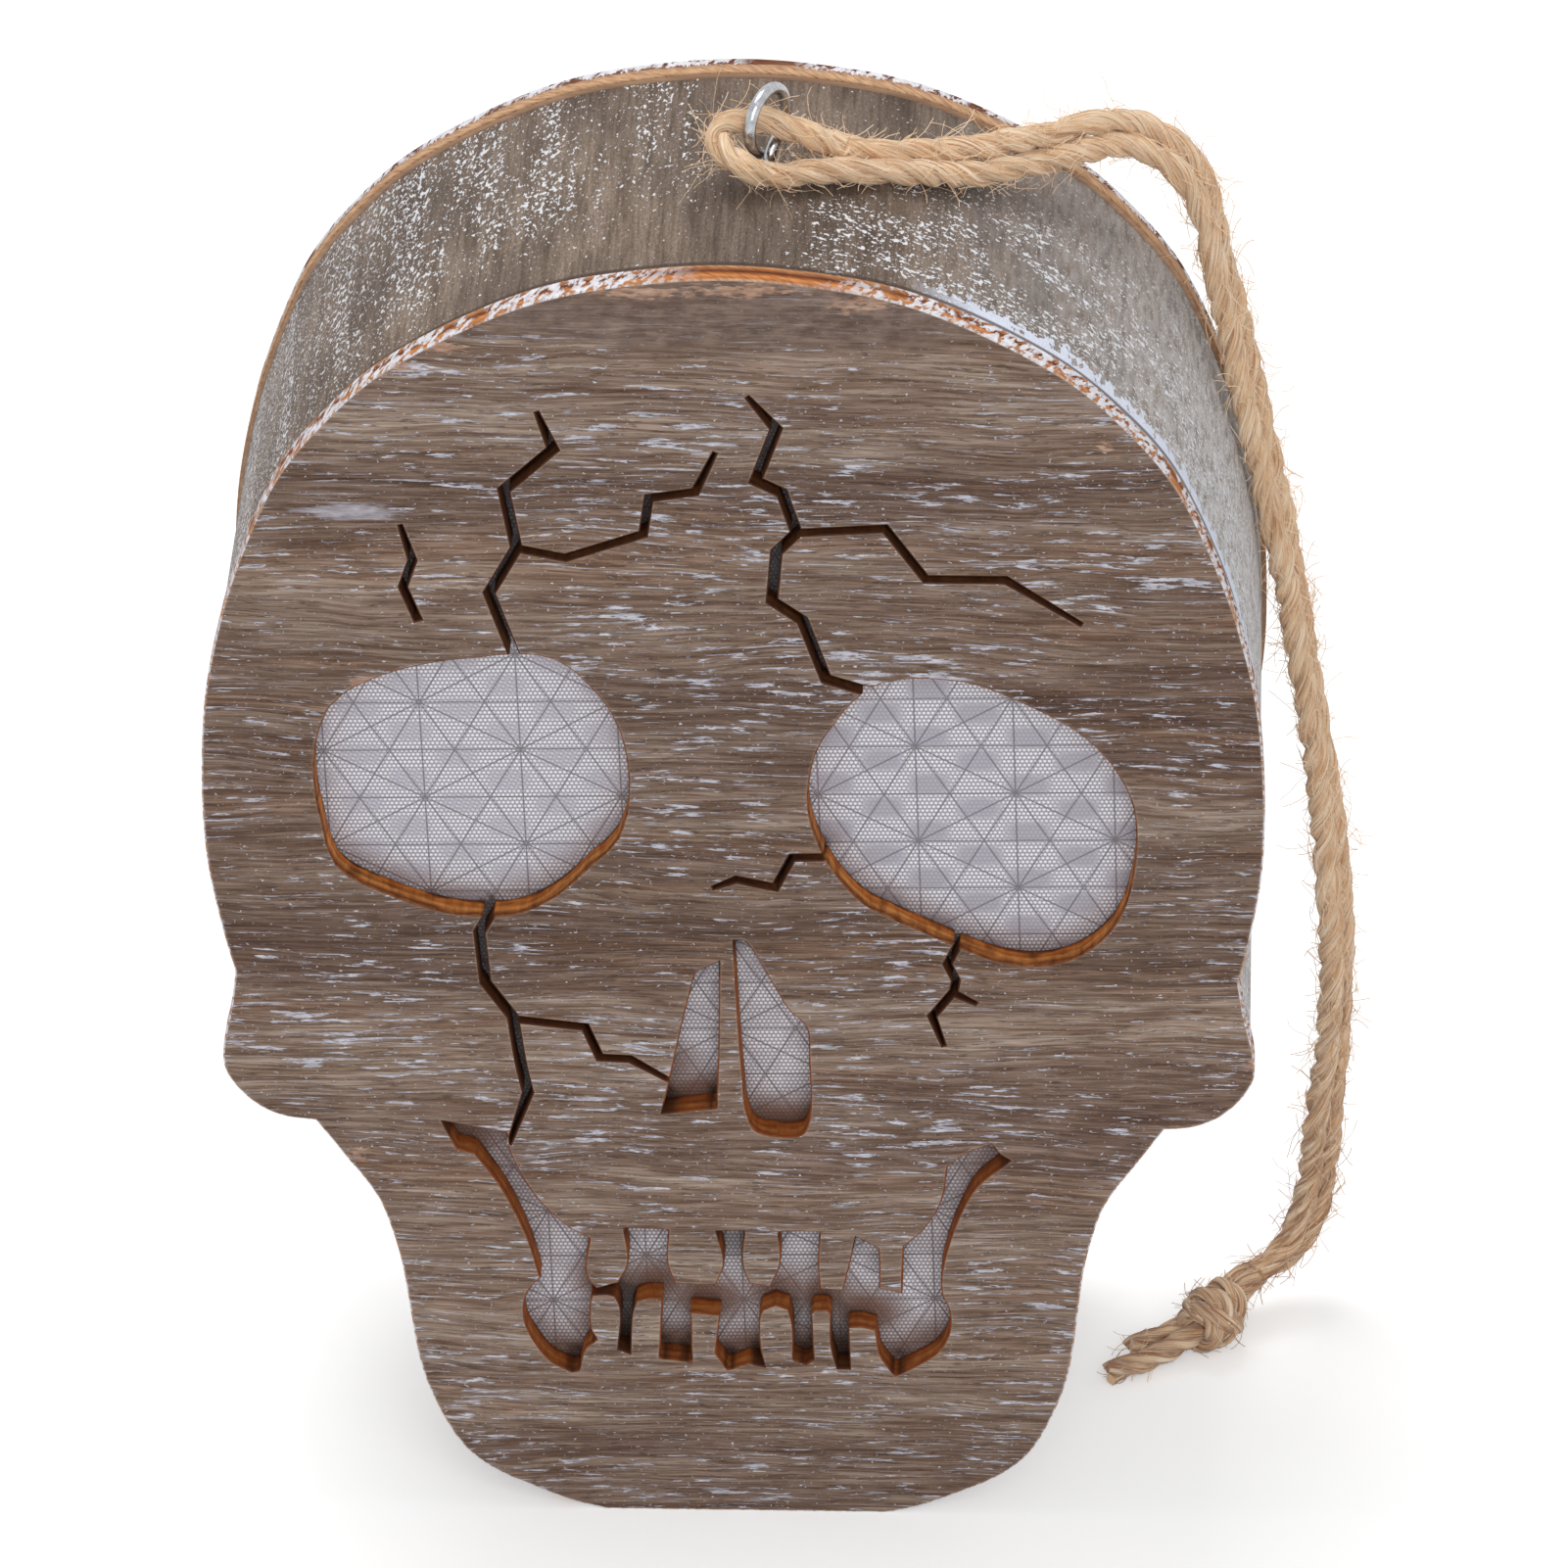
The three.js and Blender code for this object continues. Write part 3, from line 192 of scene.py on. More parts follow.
def clouded(put, where, below, rows):
    """Clouded colours over one another: a row has grit's own numbers, a share, a colour and its way.

    Gives the last colour and the clouds."""
    clouds = []
    for size, low, high, detail, start, share, colour, way in rows:
        clouds.append(grit(put, where, size, low, high, detail, start))
        cover = clouds[-1] if share == 1 else put("MULTIPLY", clouds[-1], share)
        below = put("Mix", cover, below, colour, **way)
    return below, clouds


def limed_walnut(name, lime_level, brow_stroke):
    """Walnut veneer, stained grey-brown and dry-brushed with white: matt, its grain lying across."""
    made, put, shader = new_finish(name, 0.75, Specular_IOR_Level=0.25)
    mm = place_in_mm(put)
    sway = put("TexNoise", put("Mapping", mm, None, None, (0.02, 0.03, 0.05)), 1, 3)
    sway = put("VectorMath", sway.outputs["Color"], (0, 0, 6), operation="MULTIPLY")
    grain = put("VectorMath", mm, sway, operation="ADD")
    # Growth bands one to three centimetres wide, the darkest below the eyes
    bands = grit(put, grain, (0.006, 0.006, 0.11), 0.28, 0.72, 5)
    wood = put("ValToRGB", bands, ramp=[(0, "#937d71"), (1, "#c6b6a8"), (0.5, "#ae9b8e")])
    height = put("SeparateXYZ", grain).outputs["Z"]
    for middle, half, deep in ((158, 11, 0.32), (146, 5, 0.26), (136, 7, 0.28),
                               (124, 15, 0.50), (104, 10, 0.40), (90, 12, 0.58)):
        apart = put("ABSOLUTE", put("SUBTRACT", height, middle))
        dark = put("MapRange", apart, 0, half, deep, 0, **EASED)
        wood = put("Mix", dark, wood, "#a08d84", **STAIN)
    # Warmer clouds, fibres in three widths, short and wavy, then open pores, and brighter flakes that are
    # painted glints
    wood, (_, _, _, fibre, pores, _) = clouded(put, grain, wood, (
        ((0.02, 0.02, 0.2), 0.48, 0.72, 4, (7, 3, 1), 0.5, "#b3937a", PAINT),
        ((0.05, 0.05, 0.7), 0.32, 0.70, 4, (3, 1, 8), 1, "#cfc2ba", STAIN),
        ((0.07, 0.12, 1.9), 0.34, 0.70, 4, (6, 4, 2), 1, "#cabdb4", STAIN),
        ((0.15, 0.28, 4.2), 0.36, 0.70, 4, (5, 2, 3), 1, "#bbada4", STAIN),
        ((0.4, 0.4, 3.6), 0.60, 0.70, 2, (1, 9, 4), 0.6, "#45342d", PAINT),
        ((0.8, 0.8, 3.8), 0.62, 0.74, 2, (9, 1, 1), 0.35, "#c4a188", PAINT)))
    # The crown's top has little grain and less paint
    ragged = grit(put, mm, (0.05, 0.05, 0.2), 0.2, 0.8, most=4)
    height = put("ADD", put("SeparateXYZ", mm).outputs["Z"], ragged)
    crown = put("MapRange", height, 175, 178.5, **EASED)
    mottle = grit(put, mm, (0.35, 0.35, 0.8), 0.3, 0.75, 6, (2, 2, 2))
    plain = put("ValToRGB", mottle, ramp=[(0, "#5e4c44"), (1, "#917c70")])
    wood = put("Mix", put("MULTIPLY", crown, 0.75), wood, plain)
    # Dry-brushed dashes, thin long strokes and specks of white
    level = grit(put, mm, (0.03, 0.03, 0.07), 0.35, 0.68, 2, (4, 4, 4), lime_level + 0.07, lime_level)
    dash = put("Mapping", grain, (11, 6, 2), None, (0.18, 0.14, 1.6))
    dash = put("TexNoise", dash, 1, 6, 0.64)
    dash = put("MapRange", put("SUBTRACT", dash, level), 0, 0.02)
    stroke = grit(put, grain, (0.07, 0.06, 2.7), 0.63, 0.66, 5, (17, 8, 6), most=0.8)
    speck = grit(put, mm, (1.4, 1.1, 2.6), 0.665, 0.70, 2, (8, 8, 3))
    broken = grit(put, mm, (0.9, 0.7, 4.6), 0.30, 0.46, 3, (6, 6, 6))
    lime = put("MAXIMUM", dash, stroke)
    lime = put("MULTIPLY", lime, broken)
    lime = put("MAXIMUM", lime, speck)
    lime = put("MULTIPLY", lime, put("MapRange", crown, 0, 1, 1, 0.25))
    if brow_stroke:
        # One wide stroke on the brow's left, thin and streaky, ragged at its ends
        spot = put("Mapping", mm, (6.08, 0, -108.3), None, (0.135, 0, 0.72))
        spot = put("VectorMath", spot, operation="LENGTH").outputs["Value"]
        torn = grit(put, mm, (0.25, 0.25, 2.2), 0.25, 0.75, 4, (3, 9, 9), most=0.6)
        spot = put("ADD", spot, torn)
        spot = put("MapRange", spot, 0.85, 1.25, 0.62, 0)
        lime = put("MAXIMUM", lime, spot)
    tint = grit(put, mm, (0.5, 0.5, 1.5), 0.3, 0.7, 2, (2, 7, 7))
    white = put("Mix", tint, "#b8b5c1", "#e0e1ec")
    wood = put("Mix", put("MULTIPLY", lime, 0.9), wood, white)
    # Bare fibres where the arris has chipped
    chip = put("Attribute", attribute_name="chip").outputs["Fac"]
    bite = grit(put, mm, (0.5, 0.5, 1.8), 0.25, 0.75, 5, (5, 5, 1))
    chip = put("MapRange", put("SUBTRACT", chip, bite), 0, 0.3)
    bare = grit(put, mm, (0.5, 0.5, 1.8), 0.3, 0.7, 4)
    bare = put("ValToRGB", bare, ramp=[(0, "#a97f66"), (1, "#d2b09a")])
    wood = put("Mix", put("MULTIPLY", chip, 0.8), wood, bare)
    rim = put("Attribute", attribute_name="rim").outputs["Fac"]
    worn = put("MULTIPLY", put("MapRange", rim, 0.05, 0.45, 0.55, 0), bite)
    wood = put("Mix", worn, wood, "#b39a88")
    relief = put("SUBTRACT", put("MULTIPLY", lime, 0.6), fibre)
    relief = put("SUBTRACT", relief, pores)
    return coated(made, shader, wood, relief, 0.07)


def ply_edge(name, layers, bare_width, painted, worn):
    """Sawn plywood edge: tan and scorched brown layers under patches of thick white brush paint."""
    made, put, shader = new_finish(name, 0.75, Specular_IOR_Level=0.25)
    edge = place_in_mm(put, "edge")
    x, _, z = put("SeparateXYZ", place_in_mm(put)).outputs
    slant = put("Mapping", edge, None, (0, 0, 0.6))
    raw = put("SeparateXYZ", edge).outputs["Y"]
    depth = put("ADD", raw, grit(put, edge, (0.12, 0.3, 1), 0.2, 0.8, 4, least=-0.25, most=0.25))
    wood = put("ValToRGB", put("MapRange", depth, 0, PLATE_THICK), ramp=layers)
    fibre = grit(put, slant, (0.5, 2.6, 1), 0.35, 0.75, 5)
    wood = put("Mix", fibre, wood, "#b5a397", **STAIN)
    wood, _ = clouded(put, edge, wood, (
        ((0.09, 0.5, 1), 0.5, 0.72, 4, (4, 4, 0), 0.3, "#c19672", PAINT),))
    # The paint stops short of the crown's middle, and at its own depth, with brush marks across
    aside = put("ABSOLUTE", put("SUBTRACT", x, 4))
    aside = put("MapRange", aside, bare_width * 0.7, bare_width * 1.8)
    away = put("MAXIMUM", aside, put("MapRange", z, 120, 150, 1, 0))
    frayed = grit(put, edge, (2.4, 0.2, 1), 0.2, 0.8, 3, (6, 1, 0), -0.5, 0.5)
    reach = put("SUBTRACT", put("ADD", raw, frayed), painted)
    patch = grit(put, edge, (0.15, 0.10, 1), 0.40, 0.46, 4, (9, 2, 0))
    torn = grit(put, slant, (1.3, 0.5, 1), worn - 0.03, worn + 0.03, 5, (1, 7, 0))
    white = put("MULTIPLY", patch, torn)
    white = put("MULTIPLY", white, put("MapRange", reach, -0.1, 0.1, 1, 0))
    white = put("MULTIPLY", white, away)
    flaw = grit(put, edge, (0.8, 1.2, 1), 0.2, 0.9, 5, (3, 3, 0))
    cream = put("ValToRGB", flaw, ramp=[(0, "#cdc6ca"), (1, "#f6f7fc")])
    wood = put("Mix", white, wood, cream)
    relief = put("SUBTRACT", white, fibre)
    return coated(made, shader, wood, relief, 0.08)


def scorched_wall():
    """Laser-cut plywood wall: orange-brown, burnt dark where the layers meet, with painted shade in the
    cracks.
    """
    made, put, shader = new_finish("laser-scorched plywood", 0.75, Specular_IOR_Level=0.2)
    edge = place_in_mm(put, "edge")
    wander = grit(put, edge, (0.22, 0.5, 1), 0.2, 0.8, 5, least=-0.55, most=0.55)
    depth = put("ADD", put("SeparateXYZ", edge).outputs["Y"], wander)
    wood = put("ValToRGB", put("MapRange", depth, 0, PLATE_THICK), ramp=[
        (0, "#8a5836"), (1, "#3d1d0e"), (0.08, "#6b3817"), (0.22, "#ad6a35"),
        (0.42, "#d8924f"), (0.58, "#b0672b"), (0.76, "#d27c35"), (0.92, "#743c1a")])
    wood, (beam, char, _) = clouded(put, edge, wood, (
        ((0.8, 0.16, 1), 0.35, 0.75, 6, (0, 0, 0), 1, "#b09c8c", STAIN),
        ((0.16, 0.7, 1), 0.50, 0.74, 5, (2, 5, 0), 0.8, "#42200f", PAINT),
        ((0.3, 0.6, 1), 0.55, 0.74, 5, (8, 5, 0), 0.4, "#d8964f", PAINT)))
    low = put("SeparateXYZ", place_in_mm(put)).outputs["Z"]
    low = put("MapRange", low, 76, 90, 0.55, 0)
    wood = put("Mix", low, wood, "#84431f")
    # Painted shade: walls where the cut is as narrow as a crack are darkened, as little light gets in
    crack = put("MULTIPLY", put("Attribute", attribute_name="crack").outputs["Fac"], 0.8)
    wood = put("Mix", crack, wood, "#30170f")
    return coated(made, shader, wood, put("ADD", beam, char), -0.04)


def brushed_veneer():
    """Thin bent veneer, stained olive-brown, its white brushed front to back and broken into flecks."""
    made, put, shader = new_finish("olive-stained veneer, dry-brushed", 0.65, Specular_IOR_Level=0.3)
    edge = place_in_mm(put, "edge")
    round_it, deep, _ = put("SeparateXYZ", edge).outputs
    tone = grit(put, edge, (0.06, 0.03, 1), 0.3, 0.72, 4)
    wood = put("ValToRGB", tone, ramp=[(0, "#716257"), (1, "#9f8e7f"), (0.5, "#89786b")])
    wood, (_, _, fibre) = clouded(put, edge, wood, (
        ((0.5, 0.04, 1), 0.35, 0.70, 3, (4, 1, 0), 1, "#cbc5bf", STAIN),
        ((2.1, 0.13, 1), 0.38, 0.72, 3, (2, 6, 0), 1, "#c4bbb3", STAIN),
        ((3.4, 1.5, 1), 0.35, 0.70, 3, (7, 3, 0), 1, "#cbc6c1", STAIN)))
    # A thin milky wash down the sides, the right more than the left
    side = put("MapRange", put("ABSOLUTE", round_it), 22, 75)
    wash = put("MULTIPLY", side, put("MapRange", round_it, -5, 5, 0, 1))
    milk = grit(put, edge, (0.9, 0.25, 1), 0.2, 0.7, 6, (7, 7, 0))
    wash = put("MULTIPLY", wash, milk)
    wood = put("Mix", wash, wood, "#cdc9c8")
    # Columns of flecks left of the ring, a slanting scatter on its right, fine salt on the flanks
    column = grit(put, edge, (0.16, 0.018, 1), 0.40, 0.58, 3, (12, 0, 0), 0.45, 1)
    bare = put("ADD", deep, put("MapRange", round_it, -50, -20, 12, 0))
    column = put("MULTIPLY", column, put("MapRange", bare, 6, 20, 0.2, 1))
    column = put("MULTIPLY", column, put("MapRange", round_it, -8, 2, 1, 0))
    shore = grit(put, edge, (0.07, 0.07, 1), 0.2, 0.8, most=14)
    shore = put("MapRange", put("ADD", deep, shore), 30, 48, 1, 0.15)
    right = put("MULTIPLY", put("MapRange", round_it, 2, 14), shore)
    cloud = grit(put, edge, (0.10, 0.12, 1), 0.30, 0.56, 3, (3, 9, 0))
    right = put("MULTIPLY", right, cloud)
    white = None
    for where, size, full, start in (
        (column, (1.4, 0.80, 1), 0.580, (6, 3, 0)), (column, (2.6, 1.3, 1), 0.585, (2, 9, 0)),
        (right, (1, 1.2, 1), 0.575, (4, 5, 0)), (right, (2.4, 1.9, 1), 0.595, (8, 1, 0)),
        (side, (2.9, 1.6, 1), 0.585, (1, 8, 0)),
    ):
        fleck = put("TexNoise", put("Mapping", edge, start, None, size), 1, 2, 0.5)
        level = put("MapRange", where, 0, 1, 0.73, full)
        fleck = put("MapRange", put("SUBTRACT", fleck, level), 0, 0.02)
        white = put("MAXIMUM", white, fleck) if white else fleck
    wood = put("Mix", put("MULTIPLY", white, 0.95), wood, "#e4e5ea")
    # Paint dragged along the joint with the face plate, on the right shoulder
    lower = put("MULTIPLY", put("MapRange", round_it, 45, 85, 0, 2.2), put(
        "MapRange", round_it, 95, 125, 1, 0))
    depth = put("SUBTRACT", deep, lower)
    ragged = grit(put, edge, (0.7, 0.3, 1), 0.25, 0.75, 6, (5, 5, 0), 1, 6.4)
    reach = put("SUBTRACT", ragged, depth)
    along = put("MULTIPLY", put("MapRange", round_it, 22, 32), put(
        "MapRange", round_it, 90, 110, 0.95, 0))
    lip = put("MULTIPLY", put("MapRange", reach, 0, 0.25), along)
    wood = put("Mix", lip, wood, "#d9dfee")
    # A dark line along the joint with the face plate: partly the joint's own gap, partly painted shadow
    # of the plate's overhang
    gap_shadow = put("ABSOLUTE", put("SUBTRACT", depth, 0.9))
    wood = put("Mix", put("MapRange", gap_shadow, 0.3, 0.6, 0.8, 0), wood, "#3d2a20")
    relief = put("SUBTRACT", put("MAXIMUM", white, lip), fibre)
    return coated(made, shader, wood, relief, 0.06)


def diffusing_film():
    """Polypropylene diffuser sheet pressed with a star lattice of fine prisms: milky, faintly glossy."""
    made, put, shader = new_finish("prism-pressed polypropylene film", 0.42, IOR=1.49)
    mm = place_in_mm(put)
    # The stars' middles lie on an even three-way lattice, turned a little
    star_pitch, dot_pitch = 13.95, 0.55
    laid = put("Mapping", mm, (37.95, 0, -106.82))
    laid = put("Mapping", laid, None, (0, math.radians(1.2), 0))
    nearest = None
    for angle in range(0, 180, 30):
        apart = star_pitch / 2 if angle % 60 else star_pitch * math.sqrt(3) / 2
        square = math.radians(angle)
        along = put("VectorMath", laid, (math.cos(square) / apart, 0, math.sin(square) / apart),
                    operation="DOT_PRODUCT").outputs["Value"]
        off = put("MULTIPLY", put("PINGPONG", along, 0.5), apart)
        nearest = put("MINIMUM", nearest, off) if nearest else off
    # Lens-shaped dim places in rows, out of step from one eye to the other
    x, _, z = put("SeparateXYZ", mm).outputs
    drift = put("MapRange", x, -12, 12, -8.3, 0)
    warp = grit(put, mm, (0.09, 0.09, 0.12), 0.2, 0.8, 2)
    across = put("ADD", put("ADD", x, drift), warp)
    dim = None
    for value, middle, pitch in ((across, 24.6, 12), (z, 116.5, 6.95)):
        wave = put("SUBTRACT", value, middle)
        wave = put("COSINE", put("MULTIPLY", wave, math.tau / pitch))
        dim = put("MULTIPLY", dim, wave) if dim else wave
    dim = put("MapRange", dim, -0.25, 0.6, **EASED)
    dim = put("MULTIPLY", dim, put("MapRange", x, -12, 0, 0.55, 1))
    sheet = put("ValToRGB", dim, ramp=[(0, "#cdcbd6"), (1, "#a6a2ad"), (0.6, "#bcb9c4")])
    # White dots between the dim places, fine slanting prisms around them
    per_dot = (1 / dot_pitch, 1, 1 / dot_pitch)
    across, _, up = put("SeparateXYZ", put("Mapping", laid, None, None, per_dot)).outputs
    shift = put("MULTIPLY", put("FLOORED_MODULO", put("FLOOR", up), 2), 0.5)
    spot = put("CombineXYZ", put("FRACT", put("ADD", across, shift)), put("FRACT", up), 0)
    spot = put("VectorMath", spot, (0.5, 0.5, 0), operation="DISTANCE").outputs["Value"]
    dot = put("MapRange", spot, 0.22, 0.46, 1, 0)
    light = put("MapRange", dim, 0.1, 0.7, 0.8, 0.15)
    low = put("MapRange", z, 80, 88, 1, 0)
    light = put("MAXIMUM", light, put("MULTIPLY", low, 0.7))
    gap = put("MULTIPLY", put("MapRange", dot, 0, 1, 1, 0), light)
    sheet = put("Mix", gap, sheet, put("Mix", low, "#85808a", "#80777d"))
    sheet = put("Mix", put("MULTIPLY", dot, light), sheet, "#fafaff")
    hatch = put("VectorMath", laid, (0.95, 0, 1.65), operation="DOT_PRODUCT").outputs["Value"]
    hatch = put("MapRange", put("PINGPONG", hatch, 0.5), 0.05, 0.3, 0.4, 0)
    ring = put("ABSOLUTE", put("SUBTRACT", dim, 0.5))
    hatch = put("MULTIPLY", hatch, put("MapRange", ring, 0.1, 0.4, 1, 0))
    sheet = put("Mix", hatch, sheet, "#7f7984")
    line = put("Mix", low, "#5f5960", "#4d4549")
    sheet = put("Mix", put("MapRange", nearest, 0.05, 0.15, 0.78, 0), sheet, line)
    # Painted shade, brown like the walls, on the sheet above each lower edge of the cut-outs, and darker
    # painted shade in the cracks, where little light enters
    edge_shade = put("Attribute", attribute_name="edge_shade").outputs["Fac"]
    sheet = put("Mix", edge_shade, sheet, "#6f5143")
    crack = put("MULTIPLY", put("Attribute", attribute_name="crack").outputs["Fac"], 0.8)
    sheet = put("Mix", crack, sheet, "#3a2a24")
    return coated(made, shader, sheet, put("ADD", dot, nearest), 0.03)


def smooth_finish(name, colour, other, clouds, marks, gloss, depth, **constants):
    """A smooth finish: a little clouded, with fine marks that show in its gloss and its relief."""
    made, put, shader = new_finish(name, gloss[0], **constants)
    mm = place_in_mm(put)
    fine = grit(put, mm, *marks)
    rough = put("MapRange", fine, 0, 1, *gloss)
    made.node_tree.links.new(rough.outputs["Result"], shader.inputs["Roughness"])
    return coated(made, shader, put("Mix", grit(put, mm, *clouds), colour, other), fine, depth)


def nickel_wire():
    """Drawn steel wire, nickel plated: bright, with faint marks along the draw."""
    return smooth_finish(
        "nickel-plated steel wire", "#c6c8cc", "#a2a4a8", ((0.9, 0.9, 0.9), 0.3, 0.75, 4),
        ((2.5, 2.5, 2.5), 0.4, 0.8, 4), (0.14, 0.34), 0.01, Metallic=1)


def jute_yarn(name, dark, middle, light):
    """Raw jute, loosely spun: dull golden tan, each ply streaked by fibres that run along it."""
    made, put, shader = new_finish(
        name, 0.85, Specular_IOR_Level=0.25, Sheen_Weight=0.3, Sheen_Roughness=0.5)
    yarn = place_in_mm(put, "edge")
    fibre = grit(put, yarn, (4.2, 0.16, 1), 0.28, 0.72, 6)
    tan = put("ValToRGB", fibre, ramp=[(0, dark), (1, light), (0.5, middle)])
    tan, _ = clouded(put, yarn, tan, (
        ((0.3, 0.05, 1), 0.45, 0.75, 3, (3, 8, 0), 0.45, "#d09a6c", PAINT),))
    # Painted shade: the lower end darker, browner and streakier
    low = put("SeparateXYZ", place_in_mm(put)).outputs["Z"]
    low = put("MapRange", low, 12, 75, 0.78, 0)
    lower_shade = grit(put, yarn, (1.3, 0.14, 1), 0.42, 0.62, 4, (5, 5, 0))
    lower_shade = put("MULTIPLY", low, lower_shade)
    tan = put("Mix", lower_shade, tan, "#8e4f2a")
    tan, _ = clouded(put, yarn, tan, (
        ((5, 0.3, 1), 0.58, 0.70, 3, (9, 2, 0), 0.6, "#f9e0c6", PAINT),))
    return coated(made, shader, tan, fibre, 0.2)


def moulded_abs(name, colour, worn):
    """Injection-moulded ABS with a fine spark texture: dark satin with a slight grain."""
    return smooth_finish(name, colour, worn, ((0.12, 0.12, 0.12), 0.3, 0.75),
                         ((5, 5, 5), 0.3, 0.75), (0.40, 0.56), 0.02, IOR=1.54)


def inner_finish(name, colour, other, roughness, metallic, per_mm):
    """The finish of an inner piece: its colour a little clouded, with fine relief."""
    made, put, shader = new_finish(name, roughness, Metallic=metallic)
    cloud = grit(put, place_in_mm(put), (per_mm, per_mm, per_mm), 0.3, 0.75, 4)
    body = put("Mix", cloud, colour, other)
    return coated(made, shader, body, cloud, 0.015)


def bare_ply(name, dark, light):
    """Unfinished plywood face: pale, its fine grain lying across."""
    made, put, shader = new_finish(name, 0.8)
    grain = grit(put, place_in_mm(put), (0.03, 0.9, 1.3), 0.3, 0.75, 6)
    wood = put("ValToRGB", grain, ramp=[(0, dark), (1, light)])
    return coated(made, shader, wood, grain, 0.04)


def unit(ways):
    """The same directions, each one long."""
    return ways / np.linalg.norm(ways, axis=-1, keepdims=True)


def lengths(line):
    """How far along a line each of its points is."""
    return np.concatenate([[0], np.cumsum(np.linalg.norm(np.diff(line, axis=0), axis=1))])


def drifting(count, width):
    """So many random values that drift over about so many steps."""
    return np.convolve(rng.normal(size=count + width - 1), np.hanning(width) / (width // 2), "valid")


def through(points, step, closed=False):
    """A smooth line through the points, with points of its own about a step apart."""
    p = np.asarray(points, float)
    if closed:
        wide = np.vstack([p[-1:], p, p[:2]])
    else:
        wide = np.vstack([2 * p[0] - p[1], p, 2 * p[-1] - p[-2]])
    line = []
    for p0, p1, p2, p3 in zip(wide, wide[1:], wide[2:], wide[3:]):
        a, b, c = (max(np.linalg.norm(q - r) ** 0.5, 1e-4) for q, r in ((p0, p1), (p1, p2), (p2, p3)))
        leave = ((p1 - p0) / a - (p2 - p0) / (a + b) + (p2 - p1) / b) * b
        reach = ((p2 - p1) / b - (p3 - p1) / (b + c) + (p3 - p2) / c) * b
        count = max(1, round(np.linalg.norm(p2 - p1) / step))
        for t in np.arange(count) / count:
            line.append(p1 + leave * t + (3 * (p2 - p1) - 2 * leave - reach) * t ** 2
                        + (2 * (p1 - p2) + leave + reach) * t ** 3)
    return np.array(line if closed else line + [p[-1]])


def evenly(line, step):
    """The line again with points an even step apart, and how far along each one is."""
    along = lengths(line)
    at = np.linspace(0, along[-1], max(3, round(along[-1] / step)))
    return np.stack([np.interp(at, along, line[:, k]) for k in range(line.shape[1])], 1), at


def cross_frames(line):
    """Directions along the line and two square to it that turn as little as they can."""
    ahead = unit(np.gradient(line, axis=0))
    side = np.cross(ahead[0], (0.3, 0.2, 1.0))
    sides = []
    for t in ahead:
        side = unit(side - t * (side @ t))
        sides.append(side)
    sides = np.array(sides)
    return ahead, sides, np.cross(ahead, sides)


def skin(rings, places, heading):
    """A closed skin over rings of points: points, faces, each corner's place, and the way along."""
    count, sides = rings.shape[:2]
    faces, spots = [], []
    for i in range(count - 1):
        for j in range(sides):
            a, b = i * sides + j, i * sides + (j + 1) % sides
            faces.append((a, b, b + sides, a + sides))
            spots += [places[i, j], places[i, j + 1], places[i + 1, j + 1], places[i + 1, j]]
    faces.append(tuple(reversed(range(sides))))
    faces.append(tuple((count - 1) * sides + j for j in range(sides)))
    spots += [places[0, 0]] * sides + [places[-1, 0]] * sides
    return rings.reshape(-1, 3), faces, spots, np.repeat(heading, sides, axis=0)


def joined(shapes):
    """Several skins as one."""
    faces, spots, base = [], [], 0
    for points, shown, places, _ in shapes:
        faces += [tuple(i + base for i in face) for face in shown]
        spots += list(places)
        base += len(points)
    return np.vstack([s[0] for s in shapes]), faces, spots, np.vstack([s[3] for s in shapes])


def spots_of(mesh):
    """Where the points of a mesh are, in metres."""
    spots = np.zeros(len(mesh.vertices) * 3)
    mesh.vertices.foreach_get("co", spots)
    return spots.reshape(-1, 3)


def shaded(mesh, angle):
    """Smooth shading, broken at edges that turn by more than the angle."""
    mesh.polygons.foreach_set("use_smooth", [True] * len(mesh.polygons))
    mesh.set_sharp_from_angle(angle=math.radians(angle))


def piece(name, shape, finishes, slots=None, sharp=40, fields=None):
    """A mesh object of points in millimetres, with its edge map, finishes and smooth shading."""
    points, faces, spots, heading = shape
    mesh = bpy.data.meshes.new(name)
    mesh.from_pydata((np.asarray(points) * MM).tolist(), [], faces)
    mesh.uv_layers.new(name="edge").data.foreach_set("uv", np.asarray(spots, float).ravel())
    mesh.attributes.new("heading", "FLOAT_VECTOR", "POINT").data.foreach_set(
        "vector", np.asarray(heading, float).ravel())
    for field, values in (fields or {}).items():
        mesh.attributes.new(field, "FLOAT", "POINT").data.foreach_set("value", values)
    for finish in finishes:
        mesh.materials.append(finish)
    if slots is not None:
        mesh.polygons.foreach_set("material_index", slots)
    mesh.update()
    shaded(mesh, sharp)
    return placed(name, mesh)


def tube(line, radius, sides):
    """A round wire along a line."""
    ahead, side, other = cross_frames(line)
    turn = np.arange(sides + 1) / sides * math.tau
    rings = line[:, None] + radius * (np.cos(turn[:-1])[None, :, None] * side[:, None]
                                      + np.sin(turn[:-1])[None, :, None] * other[:, None])
    places = np.stack(np.broadcast_arrays(turn[None] * radius, lengths(line)[:, None]), 2)
    return skin(rings, places, ahead)


